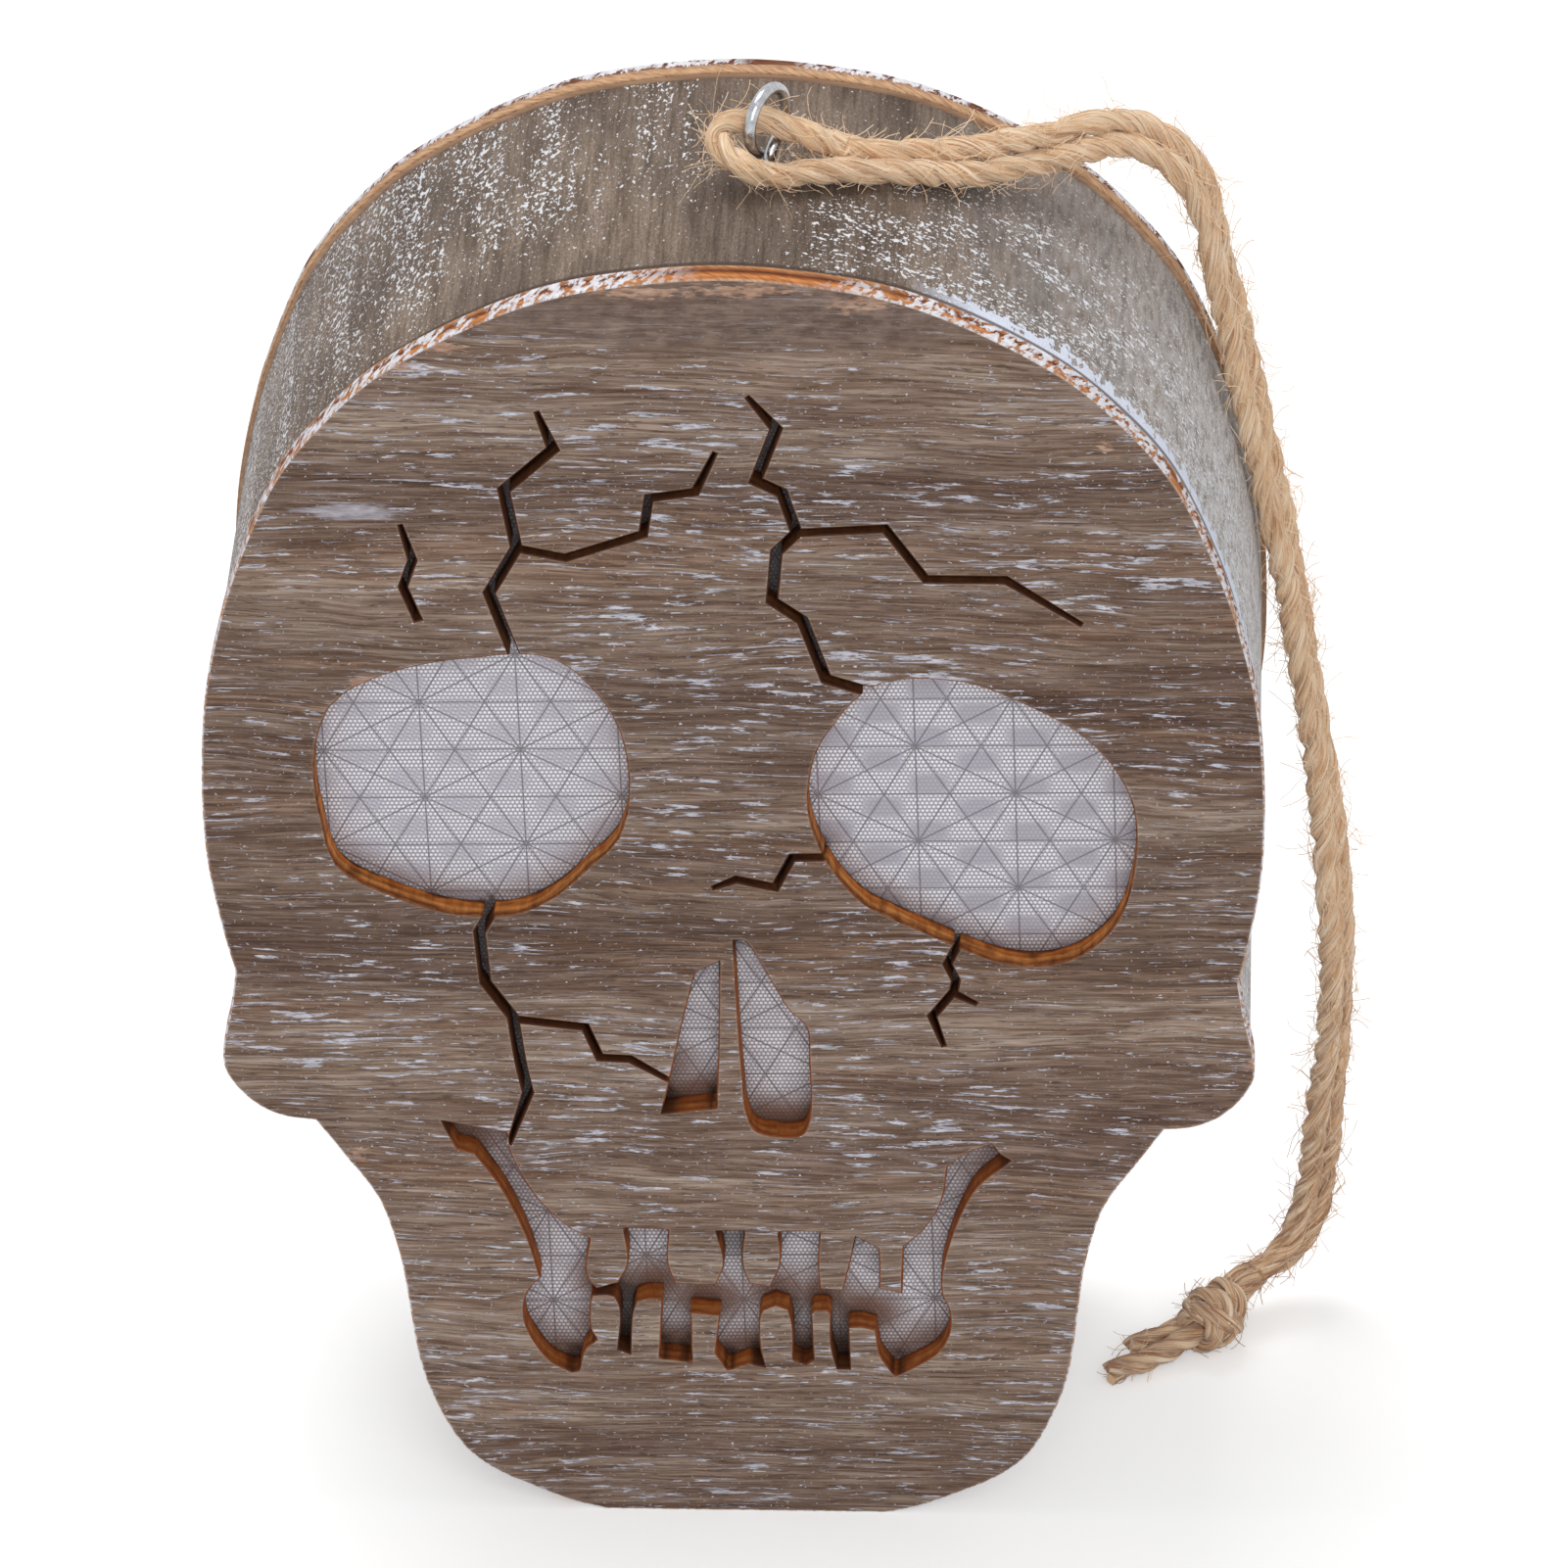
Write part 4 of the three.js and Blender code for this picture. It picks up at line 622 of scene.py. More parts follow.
def laid_strand(line, along, frames, radius, turn=0.0, fray=0.0):
    """Three plies laid loosely round a line, each an uneven bundle; fray opens its last end."""
    ahead, side, other = frames
    shapes, sides = [], 14
    ply, out = radius * 0.59, radius * 0.49
    end = np.clip((along - along[-1] + 3.0) / 3.0, 0, 1) ** 1.5 * fray
    loose = drifting(len(line), 41) * 2.2
    for k in range(PLIES):
        own = drifting(len(line), 61) * 1.2
        phase = turn + math.tau * (k / PLIES + along / TWINE_LAY) + loose + own
        apart = np.cos(phase)[:, None] * side + np.sin(phase)[:, None] * other
        middle = line + apart * (out * (1 + end))[:, None]
        forward = unit(np.gradient(middle, axis=0))
        first = unit(apart - forward * (apart * forward).sum(1)[:, None])
        second = np.cross(forward, first)
        rough = rng.normal(size=(len(line) + 12, sides))
        rough = np.stack([np.convolve(r, np.hanning(13) / 6, "valid") for r in rough.T], 1)
        slow = drifting(len(line), 41)[:, None]
        wide = ply * (1 + 0.16 * rough + 0.35 * slow) * (1 - 0.25 * end)[:, None]
        angle = np.arange(sides) / sides * math.tau - (along / TWINE_LAY * 3.0)[:, None]
        rings = middle[:, None] + wide[..., None] * (np.cos(angle)[..., None] * first[:, None]
                                                    + np.sin(angle)[..., None] * second[:, None])
        rings[..., 2] = np.maximum(rings[..., 2], FLOOR_GAP)
        across = np.arange(sides + 1) / sides * 5.2 + k * 7
        places = np.stack(np.broadcast_arrays(across[None], (along + k * 31)[:, None]), 2)
        shapes.append(skin(rings, places, forward))
    return joined(shapes)


# Camera and twine come first
camera = placed("camera", bpy.data.cameras.new("camera"))
camera.matrix_world = Matrix([
    *zip(CAMERA_RIGHT, CAMERA_UP, CAMERA_BACK, CAMERA_PLACE), (0, 0, 0, 1)])
camera.data.sensor_width = 36
camera.data.lens = CAMERA_LENS
camera.data.clip_start = 0.05
scene.camera = camera

jute = jute_yarn("raw jute yarn", "#b97f54", "#ffd9ad", "#fff0da")
loose_jute = jute_yarn("loose jute fibre", "#e6b88c", "#ffdfb9", "#fff3e0")


def pair_strand(sign):
    """One strand of the doubled stretch, beside the pair's middle line."""
    route = np.array(PAIR)
    middle = route[:, :3]
    fine = through(middle, 0.05)
    strand = []
    for point, turn in zip(middle, np.radians(route[:, 3])):
        i = int(np.linalg.norm(fine - point, axis=1).argmin())
        ahead = unit(fine[min(i + 1, len(fine) - 1)] - fine[max(i - 1, 0)])
        outward = unit(np.cross(ahead, (0, 1, 0)))
        rearward = np.cross(outward, ahead)
        reach = sign * PAIR_SPACING / 2
        strand.append(point + reach * (math.cos(turn) * outward + math.sin(turn) * rearward))
    return np.array(strand)


front_points = np.vstack([pair_strand(-1)[::-1], FRONT_LEAD])
rear_points = np.vstack([REAR_LEAD, pair_strand(1)])
twine_line, twine_along = evenly(
    through(np.vstack([front_points, BIGHT, rear_points]), CURVE_STEP), LINE_STEP)
twine_frames = cross_frames(twine_line)
front_end = int(np.linalg.norm(twine_line - front_points[-1], axis=1).argmin())
rear_start = int(np.linalg.norm(twine_line - rear_points[0], axis=1).argmin())


def lay_twine(name, node, first, last):
    """One stretch of the twine in place of its solid."""
    cut = slice(first, last + 1)
    frames = [f[cut] for f in twine_frames]
    shape = laid_strand(twine_line[cut], twine_along[cut], frames, TWINE_RADIUS)
    made = piece(name, shape, [jute])
    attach(made, "lantern")
    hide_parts(node)
    return made


front_twine = lay_twine("front_strand", "twine_front", 0, front_end)
bight_twine = lay_twine("looped_strand", "twine_bight", front_end, rear_start)
rear_twine = lay_twine("rear_strand", "twine_rear", rear_start, len(twine_line) - 1)


def knot_shape():
    """A tight overhand knot of the doubled twine: slanting wraps, necks and two frayed tails."""
    centre = np.array(KNOT_CENTRE, float)
    axis = unit(centre - PAIR[-1][:3])
    first = unit(np.cross(axis, (0, 0, 1)))
    second = np.cross(axis, first)
    shapes = []

    def lay(points, radius, turn=0.0, fray=0.0):
        line, along = evenly(np.asarray(points), LINE_STEP)
        shapes.append(laid_strand(line, along, cross_frames(line), radius, turn, fray))

    for tilt, shift, radius, start, end, thick in (
        (24, -2.3, 2.45, 0, 400, 1.35), (24, 0.2, 2.85, 30, 430, 1.4), (20, 2.3, 2.3, 60, 450, 1.3),
        (-42, -0.2, 3.0, 150, 395, 1.3),
    ):
        slant = math.radians(tilt)
        other = math.cos(slant) * second + math.sin(slant) * axis
        turn = np.radians(np.linspace(start, end, 60))[:, None]
        lay(centre + axis * shift + radius * (np.cos(turn) * first + np.sin(turn) * other), thick, start)
    for start, inner in ((twine_line[0], twine_line[1]), (twine_line[-1], twine_line[-2])):
        outer = start + unit(start - inner) * 2.4
        lay(through([start, outer, centre - axis, centre], CURVE_STEP), TWINE_RADIUS * 0.97)
    for route in (UPPER_TAIL, LOWER_TAIL):
        lay(through([centre, *route], CURVE_STEP), TWINE_RADIUS * 0.97, 0.7, 0.45)
    return joined(shapes)


knot = piece("tied_knot", knot_shape(), [jute])
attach(knot, "lantern")
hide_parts("twine_knot")


def fibre_tree():
    """A tree that grows curled fibres on a strand, lying its way or leaning off it."""
    tree = bpy.data.node_groups.new("stray fibres", "GeometryNodeTree")
    put = partial(add, tree)
    for name, kind, value in (
        ("Strand", "Geometry", None), ("Per Square Metre", "Float", 0.9e5), ("Length", "Float", 0.0032),
        ("Thickness", "Float", 0.00003), ("Rise", "Float", 0.12), ("Curl", "Float", 0.0018),
        ("Bends", "Int", 9), ("Finish", "Material", None), ("Seed", "Int", 5),
    ):
        socket = tree.interface.new_socket(name, in_out="INPUT", socket_type="NodeSocket" + kind)
        if value is not None:
            socket.default_value = value
    tree.interface.new_socket("Fibres", in_out="OUTPUT", socket_type="NodeSocketGeometry")
    given = put("NodeGroupInput").outputs
    grown = put("GeometryNodeDistributePointsOnFaces", given["Strand"], named={
        "Density": given["Per Square Metre"], "Seed": given["Seed"]})
    lift = put("MULTIPLY", given["Rise"], 0.27)
    lean = put("CombineXYZ", 0.55, -0.12, lift)
    lean = put("VectorMath", lean, operation="SCALE", named={"Scale": given["Length"]})
    tip = put("CombineXYZ", 0.90, 0.25, given["Rise"])
    tip = put("VectorMath", tip, operation="SCALE", named={"Scale": given["Length"]})
    hair = put("GeometryNodeCurveQuadraticBezier", given["Bends"], (0, 0, -0.0001), lean, tip)
    way = put("GeometryNodeInputNamedAttribute", named={"Name": "heading"}, data_type="FLOAT_VECTOR")
    lain = put("FunctionNodeAlignRotationToVector", named={
        "Rotation": grown.outputs["Rotation"], "Vector": way}, axis="X", pivot_axis="Z")
    # Half of them point back along the strand
    back = put("FunctionNodeRandomValue", data_type="INT", named={4: 0, 5: 1, "Seed": given["Seed"]})
    back = put("CombineXYZ", 0.0, 0.0, put("MULTIPLY", back, math.pi))
    swing = put("FunctionNodeRandomValue", data_type="FLOAT_VECTOR", named={
        0: (-0.35, -0.2, -0.6), 1: (0.35, 0.2, 0.6), "Seed": given["Seed"]})
    swing = put("VectorMath", swing, back, operation="ADD")
    lain = put("FunctionNodeRotateRotation", named={
        "Rotation": lain, "Rotate By": swing}, rotation_space="LOCAL")
    size = put("FunctionNodeRandomValue", data_type="FLOAT", named={
        2: 0.15, 3: 1.0, "Seed": given["Seed"]})
    stood = put("GeometryNodeInstanceOnPoints", named={
        "Points": grown.outputs["Points"], "Instance": hair, "Rotation": lain,
        "Scale": put("POWER", size, 1.6)})
    # Each fibre wanders more towards its tip
    place = put("VectorMath", put("GeometryNodeInputPosition"), (330, 330, 330), operation="MULTIPLY")
    cloud = put("TexNoise", place, 1.0, 1.0).outputs["Color"]
    curl = put("VectorMath", cloud, (0.5, 0.5, 0.5), operation="SUBTRACT")
    share = put("GeometryNodeSplineParameter").outputs["Factor"]
    share = put("MULTIPLY", share, given["Curl"])
    curl = put("VectorMath", curl, operation="SCALE", named={"Scale": share})
    bent = put("GeometryNodeSetPosition", named={
        "Geometry": put("GeometryNodeRealizeInstances", stood), "Offset": curl})
    girth = put("GeometryNodeCurvePrimitiveCircle", named={
        "Resolution": 3, "Radius": given["Thickness"]})
    hair = put("GeometryNodeCurveToMesh", bent, girth.outputs["Curve"])
    real = put("GeometryNodeRealizeInstances", hair)
    done = put("GeometryNodeSetMaterial", named={"Geometry": real, "Material": given["Finish"]})
    put("NodeGroupOutput", named={"Fibres": done})
    return tree


def grown(name, carrier, tree, **inputs):
    """What a node tree makes from a carrier's mesh, as a plain mesh object of its own."""
    base = placed(name + "_base", carrier.data.copy())
    modifier = base.modifiers.new("grown", "NODES")
    modifier.node_group = tree
    for socket in tree.interface.items_tree:
        named = socket.name.replace(" ", "_").lower()
        if named in inputs:
            modifier[socket.identifier] = inputs[named]
    bpy.context.view_layer.update()
    seen = base.evaluated_get(bpy.context.evaluated_depsgraph_get())
    mesh = bpy.data.meshes.new_from_object(seen)
    mesh.name = name
    bpy.data.objects.remove(base)
    return placed(name, mesh)


# Short fibres standing off each strand, and longer ones that lie along it
growing = fibre_tree()
for carrier, seed in ((front_twine, 5), (bight_twine, 6), (rear_twine, 7), (knot, 8)):
    for kind, choices, at_knot in (
        ("fuzz", {}, {"per_square_metre": 7.0e4}),
        ("nap", {"per_square_metre": 6.0e5, "length": 0.006, "thickness": 0.00005, "rise": 0.04,
                 "curl": 0.0010, "bends": 5},
         {"per_square_metre": 3.0e5, "length": 0.004, "curl": 0.0006, "rise": 0.02}),
    ):
        choices |= at_knot if carrier is knot else {}
        fuzz = grown(f"{carrier.name}_{kind}", carrier, growing, seed=seed, finish=loose_jute, **choices)
        spots = spots_of(fuzz.data)
        spots[:, 2] = np.maximum(spots[:, 2], 0.05 * MM)
        fuzz.data.vertices.foreach_set("co", spots.ravel())
        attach(fuzz, "lantern")


def curled(start, heading, long, wild):
    """A tube along one long loose fibre that wanders as it leaves the twine."""
    count = max(16, int(long / 0.25))
    bend = np.cumsum(rng.normal(size=(count, 3)) * wild, axis=0) + rng.normal(size=3) * wild
    ways = unit(unit(heading) + bend)
    line = start + np.cumsum(np.vstack([np.zeros(3), ways]) * long / count, axis=0)
    line[:, 2] = np.maximum(line[:, 2], 0.1)
    return tube(line, rng.uniform(0.018, 0.032), 4)


# Long stray fibres: many at the loop, the shoulder and the knot, a few elsewhere
strays = []
for low, high, number, long in ((0, 1, 70, 5.0), (0.455, 0.515, 26, 6.0), (0.30, 0.40, 34, 6.5),
                                (0.60, 0.72, 34, 6.5), (0.0, 0.03, 14, 4.0), (0.97, 1.0, 14, 4.0)):
    for share in rng.uniform(low, high, number):
        i = int(share * (len(twine_line) - 1))
        ahead, side, other = (f[i] for f in twine_frames)
        out = rng.uniform(0, math.tau)
        out = math.cos(out) * side + math.sin(out) * other
        heading = out * rng.uniform(0.2, 1.0) + ahead * rng.choice((-1, 1)) * rng.uniform(0.4, 1.2)
        strays.append(curled(twine_line[i] + out * TWINE_RADIUS * 0.8, heading,
                             long * rng.uniform(0.5, 1.5), rng.uniform(0.05, 0.15)))
stray_fibres = piece("stray_fibres", joined(strays), [loose_jute])
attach(stray_fibres, "lantern")


def welded(mesh, gap):
    """A working copy of a mesh, with points that lie within a gap made one."""
    work = bmesh.new()
    work.from_mesh(mesh)
    bmesh.ops.remove_doubles(work, verts=work.verts, dist=gap * MM)
    return work


def outlines(node, level, facing):
    """The closed outlines of a node's flat face at that depth, the wood on their left."""
    work = welded(nodes[node].data, 0.001)
    # Kept in the mesh's own order, so that each run gives the same points
    flat = dict.fromkeys(
        f for f in work.faces if all(abs(v.co.y - level * MM) < 0.01 * MM for v in f.verts))
    onward = {}
    for face in flat:
        for corner in face.loops:
            if sum(f in flat for f in corner.edge.link_faces) == 1:
                onward[corner.vert] = corner.link_loop_next.vert
    loops = []
    while onward:
        start, here = onward.popitem()
        loop = [start]
        while here is not start:
            loop.append(here)
            here = onward.pop(here)
        loops.append(np.array([(facing * v.co.x, v.co.z) for v in loop]) / MM)
    work.free()
    return sorted(loops, key=lambda p: np.ptp(p[:, 0]), reverse=True)


def smoothed(loop, step=0.6):
    """The outline again, its corners kept and the stretches between them made smooth."""
    middle = loop.mean(0)
    # The cracks and eyes turn crisply, the right nostril softly
    corner = 80 if len(loop) < 20 and abs(middle[0]) < 10 else 35 if middle[1] < 90 else 19
    before, after = loop - np.roll(loop, 1, 0), np.roll(loop, -1, 0) - loop
    turn = np.arctan2(before[:, 0] * after[:, 1] - before[:, 1] * after[:, 0], (before * after).sum(1))
    ends = np.flatnonzero(np.abs(turn) > math.radians(corner))
    if not len(ends):
        return through(loop, step, closed=True)
    loop = np.roll(loop, -ends[0], 0)
    ends = [*(ends - ends[0]), len(loop)]
    loop = np.vstack([loop, loop[:1]])
    return np.vstack([through(loop[a:b + 1], step)[:-1] for a, b in zip(ends, ends[1:])])


def from_lowest(loop):
    """The outline started at its lowest point, nearest the middle."""
    return np.roll(loop, -int(np.argmin(loop[:, 1] * 10 + np.abs(loop[:, 0]))), 0)


def set_in(loop, distance):
    """The outline moved into the wood by a distance."""
    before, after = loop - np.roll(loop, 1, 0), np.roll(loop, -1, 0) - loop
    way = unit(before) + unit(after)
    left = np.stack([-way[:, 1], way[:, 0]], 1)
    square = np.maximum((left * left).sum(1) / 2, 0.5)[:, None]
    return loop + left * distance / square


def batches(points):
    """The points' numbers, some thousands at a time."""
    return np.array_split(np.arange(len(points)), max(1, len(points) // 2000))


def within(points, loops):
    """Whether each point lies in the wood."""
    inside = np.zeros(len(points), bool)
    for loop in loops:
        a, b = loop, np.roll(loop, -1, 0)
        for some in batches(points):
            x, y = points[some, 0][:, None], points[some, 1][:, None]
            crosses = (a[:, 1] > y) != (b[:, 1] > y)
            with np.errstate(divide="ignore", invalid="ignore"):
                at = a[:, 0] + (y - a[:, 1]) * (b[:, 0] - a[:, 0]) / (b[:, 1] - a[:, 1])
            inside[some] ^= ((crosses & (x < at)).sum(1) % 2).astype(bool)
    return inside


def edge_distance(points, loops):
    """How far each point lies from the nearest cut edge."""
    shortest = np.full(len(points), 1e9)
    for loop in loops:
        a, way = loop, np.roll(loop, -1, 0) - loop
        size = np.maximum((way * way).sum(1), 1e-9)
        for some in batches(points):
            off = points[some][:, None] - a
            share = np.clip((off * way).sum(2) / size, 0, 1)
            apart = np.linalg.norm(off - share[..., None] * way, axis=2).min(1)
            shortest[some] = np.minimum(shortest[some], apart)
    return shortest


def cut_board(name, node, front, rear, finishes, rounding=0.2, mesh_step=2.2, step=0.6):
    """A board cut along a node's own outlines, with eased arrises and its face finely meshed."""
    facing = 1 if rear > front else -1
    thick = abs(rear - front)
    loops = [from_lowest(smoothed(loop, step)) for loop in outlines(node, front, facing)]
    for loop in loops:
        loop[:, 1] = np.maximum(loop[:, 1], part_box(node)[0][2] / MM)
    bend = np.radians([0, 30, 60, 90])
    insets, depths = rounding * (1 - np.sin(bend)), rounding * (1 - np.cos(bend))
    rows = [*zip(insets, depths), *zip(insets[::-1], thick - depths[::-1])]
    rings = [set_in(loop, rounding) for loop in loops]
    spread = np.vstack(rings)
    if mesh_step:
        more = [set_in(loop, reach)[::gap] for loop in loops for reach, gap in (
            (0.55, 1), (1.1, 2), (1.9, 3))]
        low, high = loops[0].min(0), loops[0].max(0)
        columns, lines = (np.arange(low[k], high[k], mesh_step) for k in (0, 1))
        more.append(np.stack(np.meshgrid(columns, lines), -1).reshape(-1, 2))
        more = np.vstack(more)
        more = more[within(more, loops)]
        more = more[edge_distance(more, loops) > rounding + 0.2]
        spread = np.vstack([spread, more])
    edges, base = [], 0
    for ring in rings:
        edges += [(base + i, base + (i + 1) % len(ring)) for i in range(len(ring))]
        base += len(ring)
    flat, _, cells = geometry.delaunay_2d_cdt(spread.tolist(), edges, [], 0, 1e-5)[:3]
    flat, cells = np.array([tuple(v) for v in flat]), np.array([tuple(c) for c in cells])
    cells = cells[within(flat[cells].mean(1), rings)]
    rim = edge_distance(flat, loops)
    points = [np.c_[flat, np.zeros(len(flat))], np.c_[flat, np.full(len(flat), thick)]]
    faces = [tuple(c) for c in cells] + [tuple(c + len(flat))[::-1] for c in cells]
    slots = [0] * len(cells) + [3] * len(cells)
    spots = list(flat[cells].reshape(-1, 2)) + list(flat[cells[:, ::-1]].reshape(-1, 2))
    fields = [rim, rim]
    base = 2 * len(flat)
    for number, loop in enumerate(loops):
        count = len(loop)
        way = lengths(np.vstack([loop, loop[:1]]))
        way = way[int(loop[:, 1].argmax())] - way
        for inset, depth in rows:
            points.append(np.c_[set_in(loop, inset), np.full(count, depth)])
            fields.append(np.zeros(count))
        for k in range(len(rows) - 1):
            for i in range(count):
                j = (i + 1) % count
                faces.append(tuple(base + n for n in (
                    k * count + i, (k + 1) * count + i, (k + 1) * count + j, k * count + j)))
                spots += [(way[i], rows[k][1]), (way[i], rows[k + 1][1]),
                          (way[i + 1], rows[k + 1][1]), (way[i + 1], rows[k][1])]
                slots.append(1 if number == 0 else 2)
        base += count * len(rows)
    points = np.vstack(points)
    points = np.c_[facing * points[:, 0], front + facing * points[:, 2], points[:, 1]]
    shape = (points, faces, spots, np.zeros((len(points), 3)))
    made = piece(name, shape, finishes, slots, 35, {"rim": np.concatenate(fields)})
    work = welded(made.data, 0.002)
    work.to_mesh(made.data)
    work.free()
    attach(made, "lantern")
    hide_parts(node)
    return made


front_layers = [(0.0, "#cfa88c"), (1.0, "#c0926a"), (0.10, "#b4703f"), (0.30, "#d8904f"),
                (0.46, "#a35c2d"), (0.58, "#54290f"), (0.76, "#a5602f"), (0.90, "#c08a5c")]
rear_layers = [(0.0, "#8a5a3c"), (1.0, "#b98f6c"), (0.10, "#5c2f1c"), (0.30, "#7d4629"),
               (0.38, "#5d3420"), (0.44, "#c09572"), (0.65, "#d3ab87"), (0.88, "#cfa984")]
bare = bare_ply("bare poplar plywood", "#ad8a70", "#cba98d")
face_plate = cut_board("face_plate", "front_plate", -PLATE_OUTER, -PLATE_INNER, [
    limed_walnut("walnut veneer, stained and limed", 0.566, True),
    ply_edge("sawn ply edge of the face, brush-painted", front_layers, 9.0, 4.5, 0.48),
    scorched_wall(), bare])
rear_plate = cut_board("rear_plate", "back_plate", PLATE_OUTER, PLATE_INNER, [
    limed_walnut("walnut veneer of the back, limed", 0.572, False),
    ply_edge("sawn ply edge of the back, brush-painted", rear_layers, 3.0, 1.35, 0.44),
    scorched_wall(), bare])
bent_band = cut_board("bent_band", "side_band", -BAND_HALF, BAND_HALF, [
    bare, brushed_veneer(), bare, bare], 0.1, 0)


def marked(board, field, measure):
    """Gives each point of a board a value worked out from its place in X and Z."""
    board.data.attributes.new(field, "FLOAT", "POINT").data.foreach_set(
        "value", measure(spots_of(board.data)[:, [0, 2]] / MM))


def chipped(points):
    """High where the arris of the face has lost its stain: around a few places, by their length."""
    chips = [(-44.1, 126.3, 3.6), (-40.1, 170.9, 5.0), (-33.5, 173.9, 4.0), (-57.9, 95.8, 1.8),
             (-47.9, 55.4, 2.4), (64.0, 71.0, 1.8), (3.0, 182.0, 9.0), (-9.0, 181.5, 7.0),
             (17.0, 180.4, 6.0), (46.2, 160.6, 1.8), (-50.5, 161.7, 2.6), (62.3, 146.0, 1.4)]
    apart = [np.hypot((points[:, 0] - x) / long, (points[:, 1] - z) / 1.1) for x, z, long in chips]
    return np.clip(1.25 - np.min(apart, axis=0), 0, 1)


cut_outs = [smoothed(loop) for loop in outlines("front_plate", -PLATE_OUTER, 1)][1:]


def edge_shade_share(points):
    """High just above each lower edge of the face's cut-outs, less in the eyes: where shade is painted on
    the film.
    """
    most = np.zeros(len(points))
    for loop in cut_outs:
        way = np.roll(loop, -1, 0) - loop
        upward = np.clip(-unit(way)[:, 0], 0, 1)
        eye = loop[:, 1] > 76
        for some in batches(points):
            apart = np.linalg.norm(points[some][:, None] - loop, axis=2)
            fade = np.clip(np.where(eye, 0.55 - apart / 6.0, 1.3 - apart / 4.2), 0, 0.95)
            most[some] = np.maximum(most[some], (upward * fade).max(1))
    return most


def cracked(points):
    """High by the cut-outs' edges where they are no wider than a crack: where shade is painted on the
    walls and the film.
    """
    width = []
    for loop in cut_outs:
        way = unit(np.roll(loop, -1, 0) - np.roll(loop, 1, 0))
        open_side = np.stack([way[:, 1], -way[:, 0]], 1)
        across = loop - loop[:, None]
        apart = np.linalg.norm(across, axis=2) + 1e-9
        facing = (across * open_side[:, None]).sum(2) / apart
        width.append(np.where(facing > 0.8, apart, 99.0).min(1))
    edge, width = np.vstack(cut_outs), np.concatenate(width)
    found = kdtree.KDTree(len(edge))
    for i, (x, z) in enumerate(edge):
        found.insert((x, z, 0), i)
    found.balance()
    near = [found.find((x, z, 0)) for x, z in points]
    return np.array([np.clip((3.0 - width[i]) / 1.4, 0, 1) * (gap < 0.9) for _, i, gap in near])


marked(face_plate, "chip", chipped)
marked(face_plate, "crack", cracked)
film = diffusing_film()
film_sheet = cut_board("prism_sheet", "diffuser_film", -BAND_HALF, -FILM_REAR, [film] * 4, 0.05, 0.9, 1.2)
marked(film_sheet, "edge_shade", edge_shade_share)
marked(film_sheet, "crack", cracked)

# The wire eye: a shank that bends into a nearly closed ring
EYE_MIDDLE = np.array((4.5, 0.0, 190.0))
EYE_WAY = np.array((math.cos(math.radians(60)), math.sin(math.radians(60)), 0.0))
shank_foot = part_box("eye_screw")[0][2] / MM - EYE_MIDDLE[2]
bent = [(0, shank_foot), (0, -14), (0, -8), (0.05, -6.2), (0.45, -4.9), (1.2, -4.1)]
bent += [(4 * math.cos(a), 4 * math.sin(a)) for a in np.radians(np.arange(-60, 250, 15))]
wire_line = through([EYE_MIDDLE + a * EYE_WAY + (0, 0, b) for a, b in bent], CURVE_STEP)
nickel = nickel_wire()
wire_eye = piece("wire_eye", tube(wire_line, 0.75, 20), [nickel], sharp=60)
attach(wire_eye, "lantern")
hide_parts("eye_screw")


def eased(name, node, width, finish):
    """A moulded piece in its solid's form, with its edges eased."""
    work = welded(nodes[node].data, 0.001)
    bmesh.ops.dissolve_limit(work, angle_limit=math.radians(1), verts=work.verts, edges=work.edges)
    mesh = bpy.data.meshes.new(name)
    work.to_mesh(mesh)
    work.free()
    mesh.materials.append(finish)
    made = placed(name, mesh)
    round_off = made.modifiers.new("eased", "BEVEL")
    round_off.width, round_off.segments, round_off.angle_limit = width * MM, 2, math.radians(35)
    bpy.context.view_layer.update()
    seen = made.evaluated_get(bpy.context.evaluated_depsgraph_get())
    made.data = bpy.data.meshes.new_from_object(seen)
    made.modifiers.clear()
    shaded(made.data, 30)
    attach(made, nodes[node]["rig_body"])
    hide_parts(node)
    return made


case_black = moulded_abs("black ABS, spark-textured", "#1d1d1e", "#262627")
eased("case_shell", "battery_case", 0.3, case_black)
eased("case_door", "battery_door", 0.25, case_black)
eased("slide_knob", "switch_knob", 0.15, case_black)

# Finishes of the pieces that stay as their solids
inner = [
    (("battery_upper", "battery_lower"), "shrunk PVC sleeve", "#1f3350", "#2a4164", 0.28, 0, 0.2),
    (("lamp_board",), "lacquered glass-epoxy board", "#1f5b38", "#28683f", 0.35, 0, 0.3),
    (("lamp_left", "lamp_middle", "lamp_right"), "warm lamp resin", "#f2e3b6", "#e4d19c", 0.15, 0, 0.8),
    (("lamp_resistor",), "ceramic lacquer", "#c9b088", "#d8c29d", 0.4, 0, 1.2),
    (("lead_red",), "red PVC sleeve", "#a6211c", "#b52c25", 0.45, 0, 1),
    (("lead_switch", "lead_black"), "black PVC sleeve", "#1a1a1b", "#222223", 0.45, 0, 1),
    (("case_screw_1", "case_screw_2", "case_screw_3", "case_screw_4", "board_screw_1", "board_screw_2"),
     "brassed steel screw", "#c8a24e", "#b08a3c", 0.3, 1, 1.5),
]
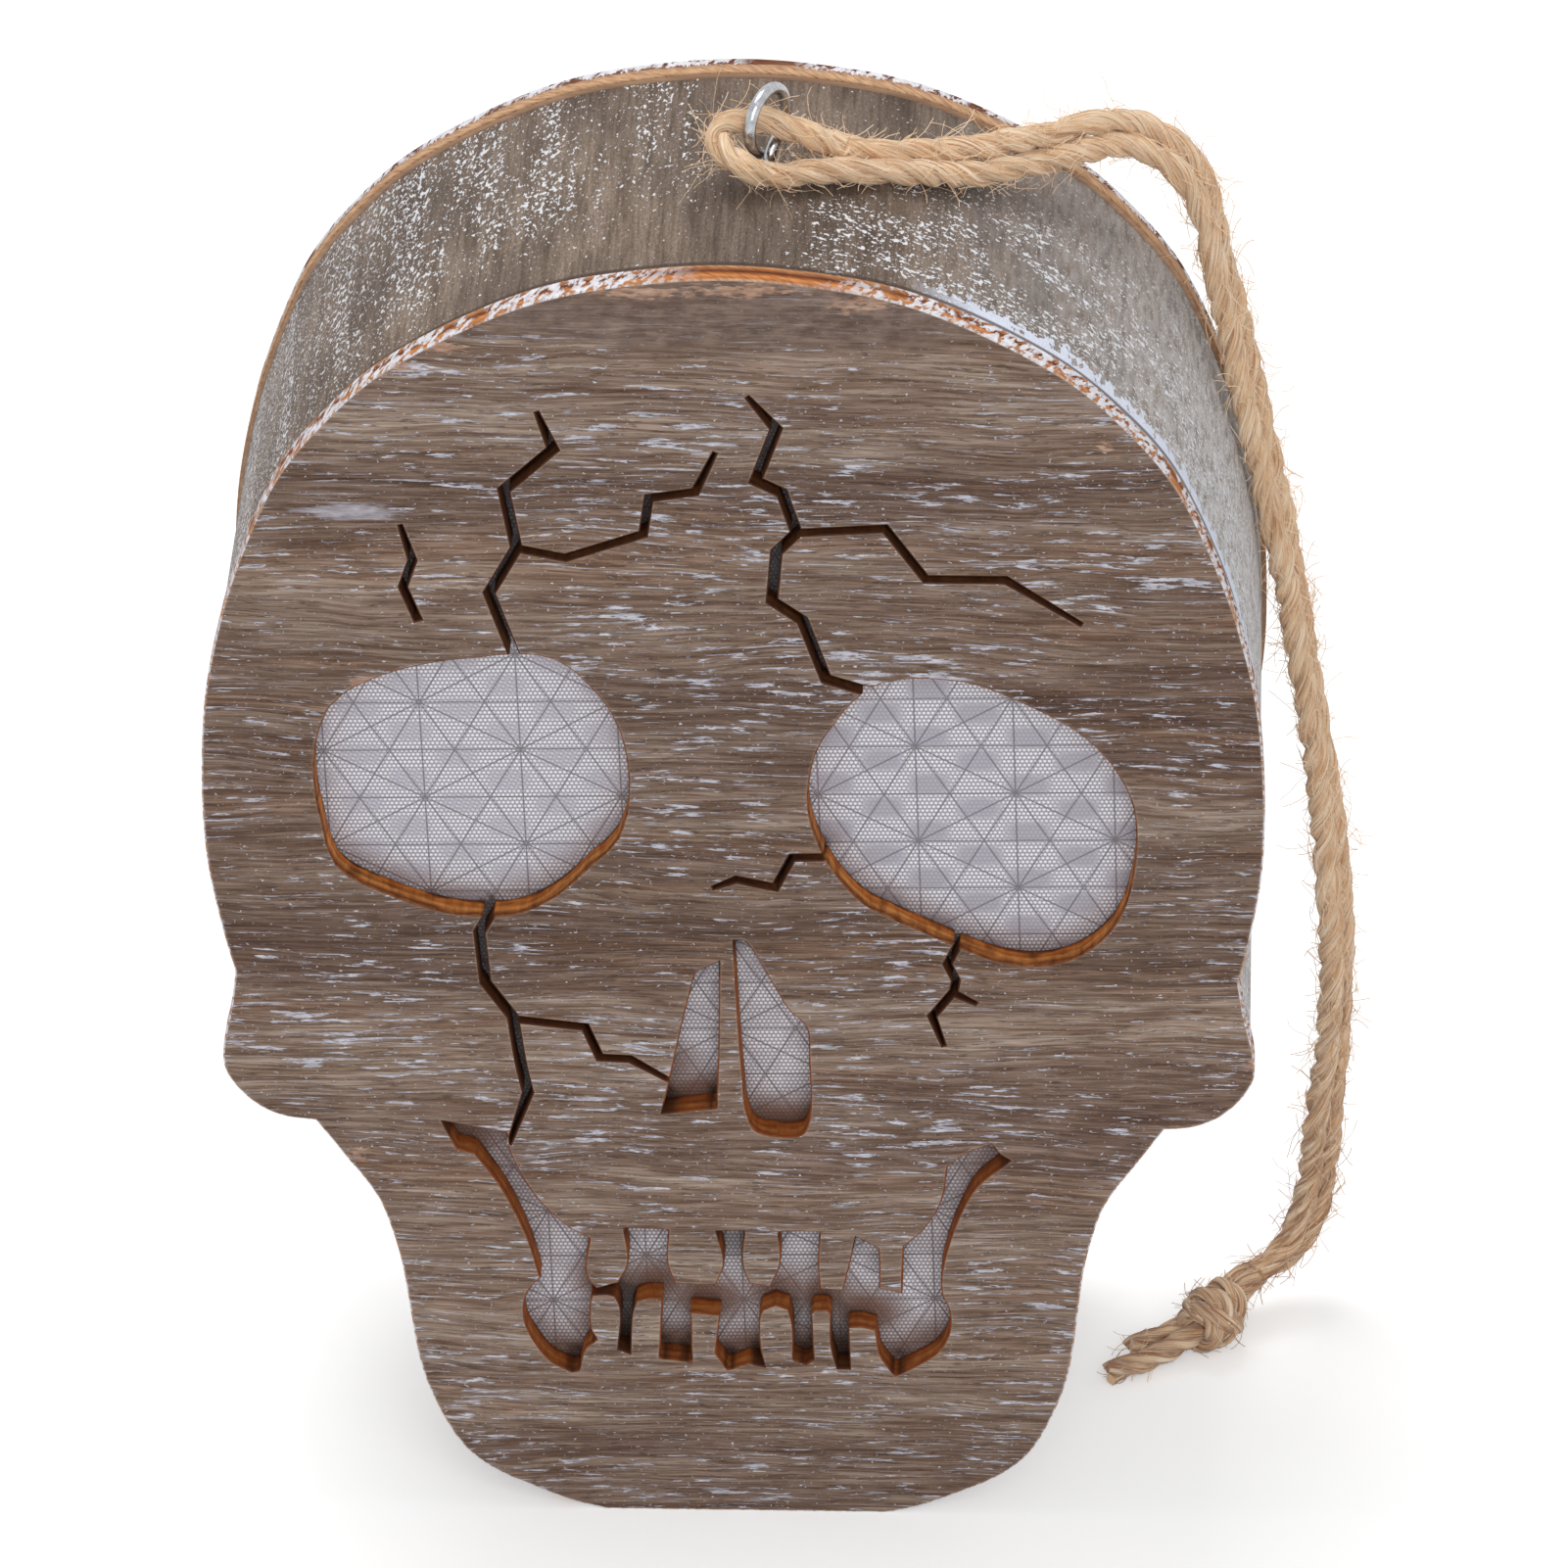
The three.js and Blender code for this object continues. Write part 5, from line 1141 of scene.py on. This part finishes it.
for names, finish in (
    (("hanger_block",), bare_ply("bare pine block", "#b58b5b", "#d3ae7c")),
    (("switch_body",), moulded_abs("black switch moulding", "#202021", "#2a2a2b")),
    (("spring_upper", "spring_lower", "contact_bridge", "contact_positive", "contact_negative"), nickel),
    *[(names, inner_finish(*values)) for names, *values in inner],
):
    for name in names:
        mesh = nodes[name].data
        mesh.materials.clear()
        mesh.materials.append(finish)


def seen_rays(put):
    """1 where the camera sees it, straight, mirrored or through a clear thing; 0 for bounced light."""
    rays = put("LightPath").outputs
    seen = put("MAXIMUM", rays["Is Camera Ray"], rays["Is Glossy Ray"])
    return put("MAXIMUM", seen, rays["Is Transmission Ray"])


# Plain pale floor, white surroundings and soft lamps
world = bpy.data.worlds.new("studio")
scene.world = world
world.use_nodes = True
world.node_tree.nodes.clear()
put = partial(add, world.node_tree)
strength = put("MapRange", seen_rays(put), 0, 1, 0.55, 1)
put("OutputWorld", put("Background", "#ffffff", strength))

floor_mesh = bpy.data.meshes.new("floor")
floor_mesh.from_pydata([(-6, -6, 0), (6, -6, 0), (6, 9, 0), (-6, 9, 0)], [], [(0, 1, 2, 3)])
floor = placed("floor", floor_mesh)
paper, put, shader = new_finish("white paper", 0.9, Specular_IOR_Level=0)
glow = put("MULTIPLY", seen_rays(put), 0.36)
shader.inputs["Base Color"].default_value = linear("#e4e4e4")
shader.inputs["Emission Color"].default_value = linear("#ffffff")
paper.node_tree.links.new(glow.outputs["Value"], shader.inputs["Emission Strength"])
floor_mesh.materials.append(paper)

for name, place, aim, size, power in (
    ("top lamp", (-0.25, 0.35, 1.5), (0, 0, 0.1), 0.9, 11),
    ("camera side lamp", (0.35, -1.6, 1.3), (0, 0, 0.1), 1.2, 13),
):
    lamp = bpy.data.lights.new(name, "AREA")
    lamp.size, lamp.energy = size, power
    stand = placed(name, lamp)
    back = unit(np.array(place) - aim)
    right = unit(np.cross((0, 1, 0.2), back))
    up = np.cross(back, right)
    stand.matrix_world = Matrix([*zip(right, up, back, place), (0, 0, 0, 1)])
scene.view_settings.view_transform = "Standard"
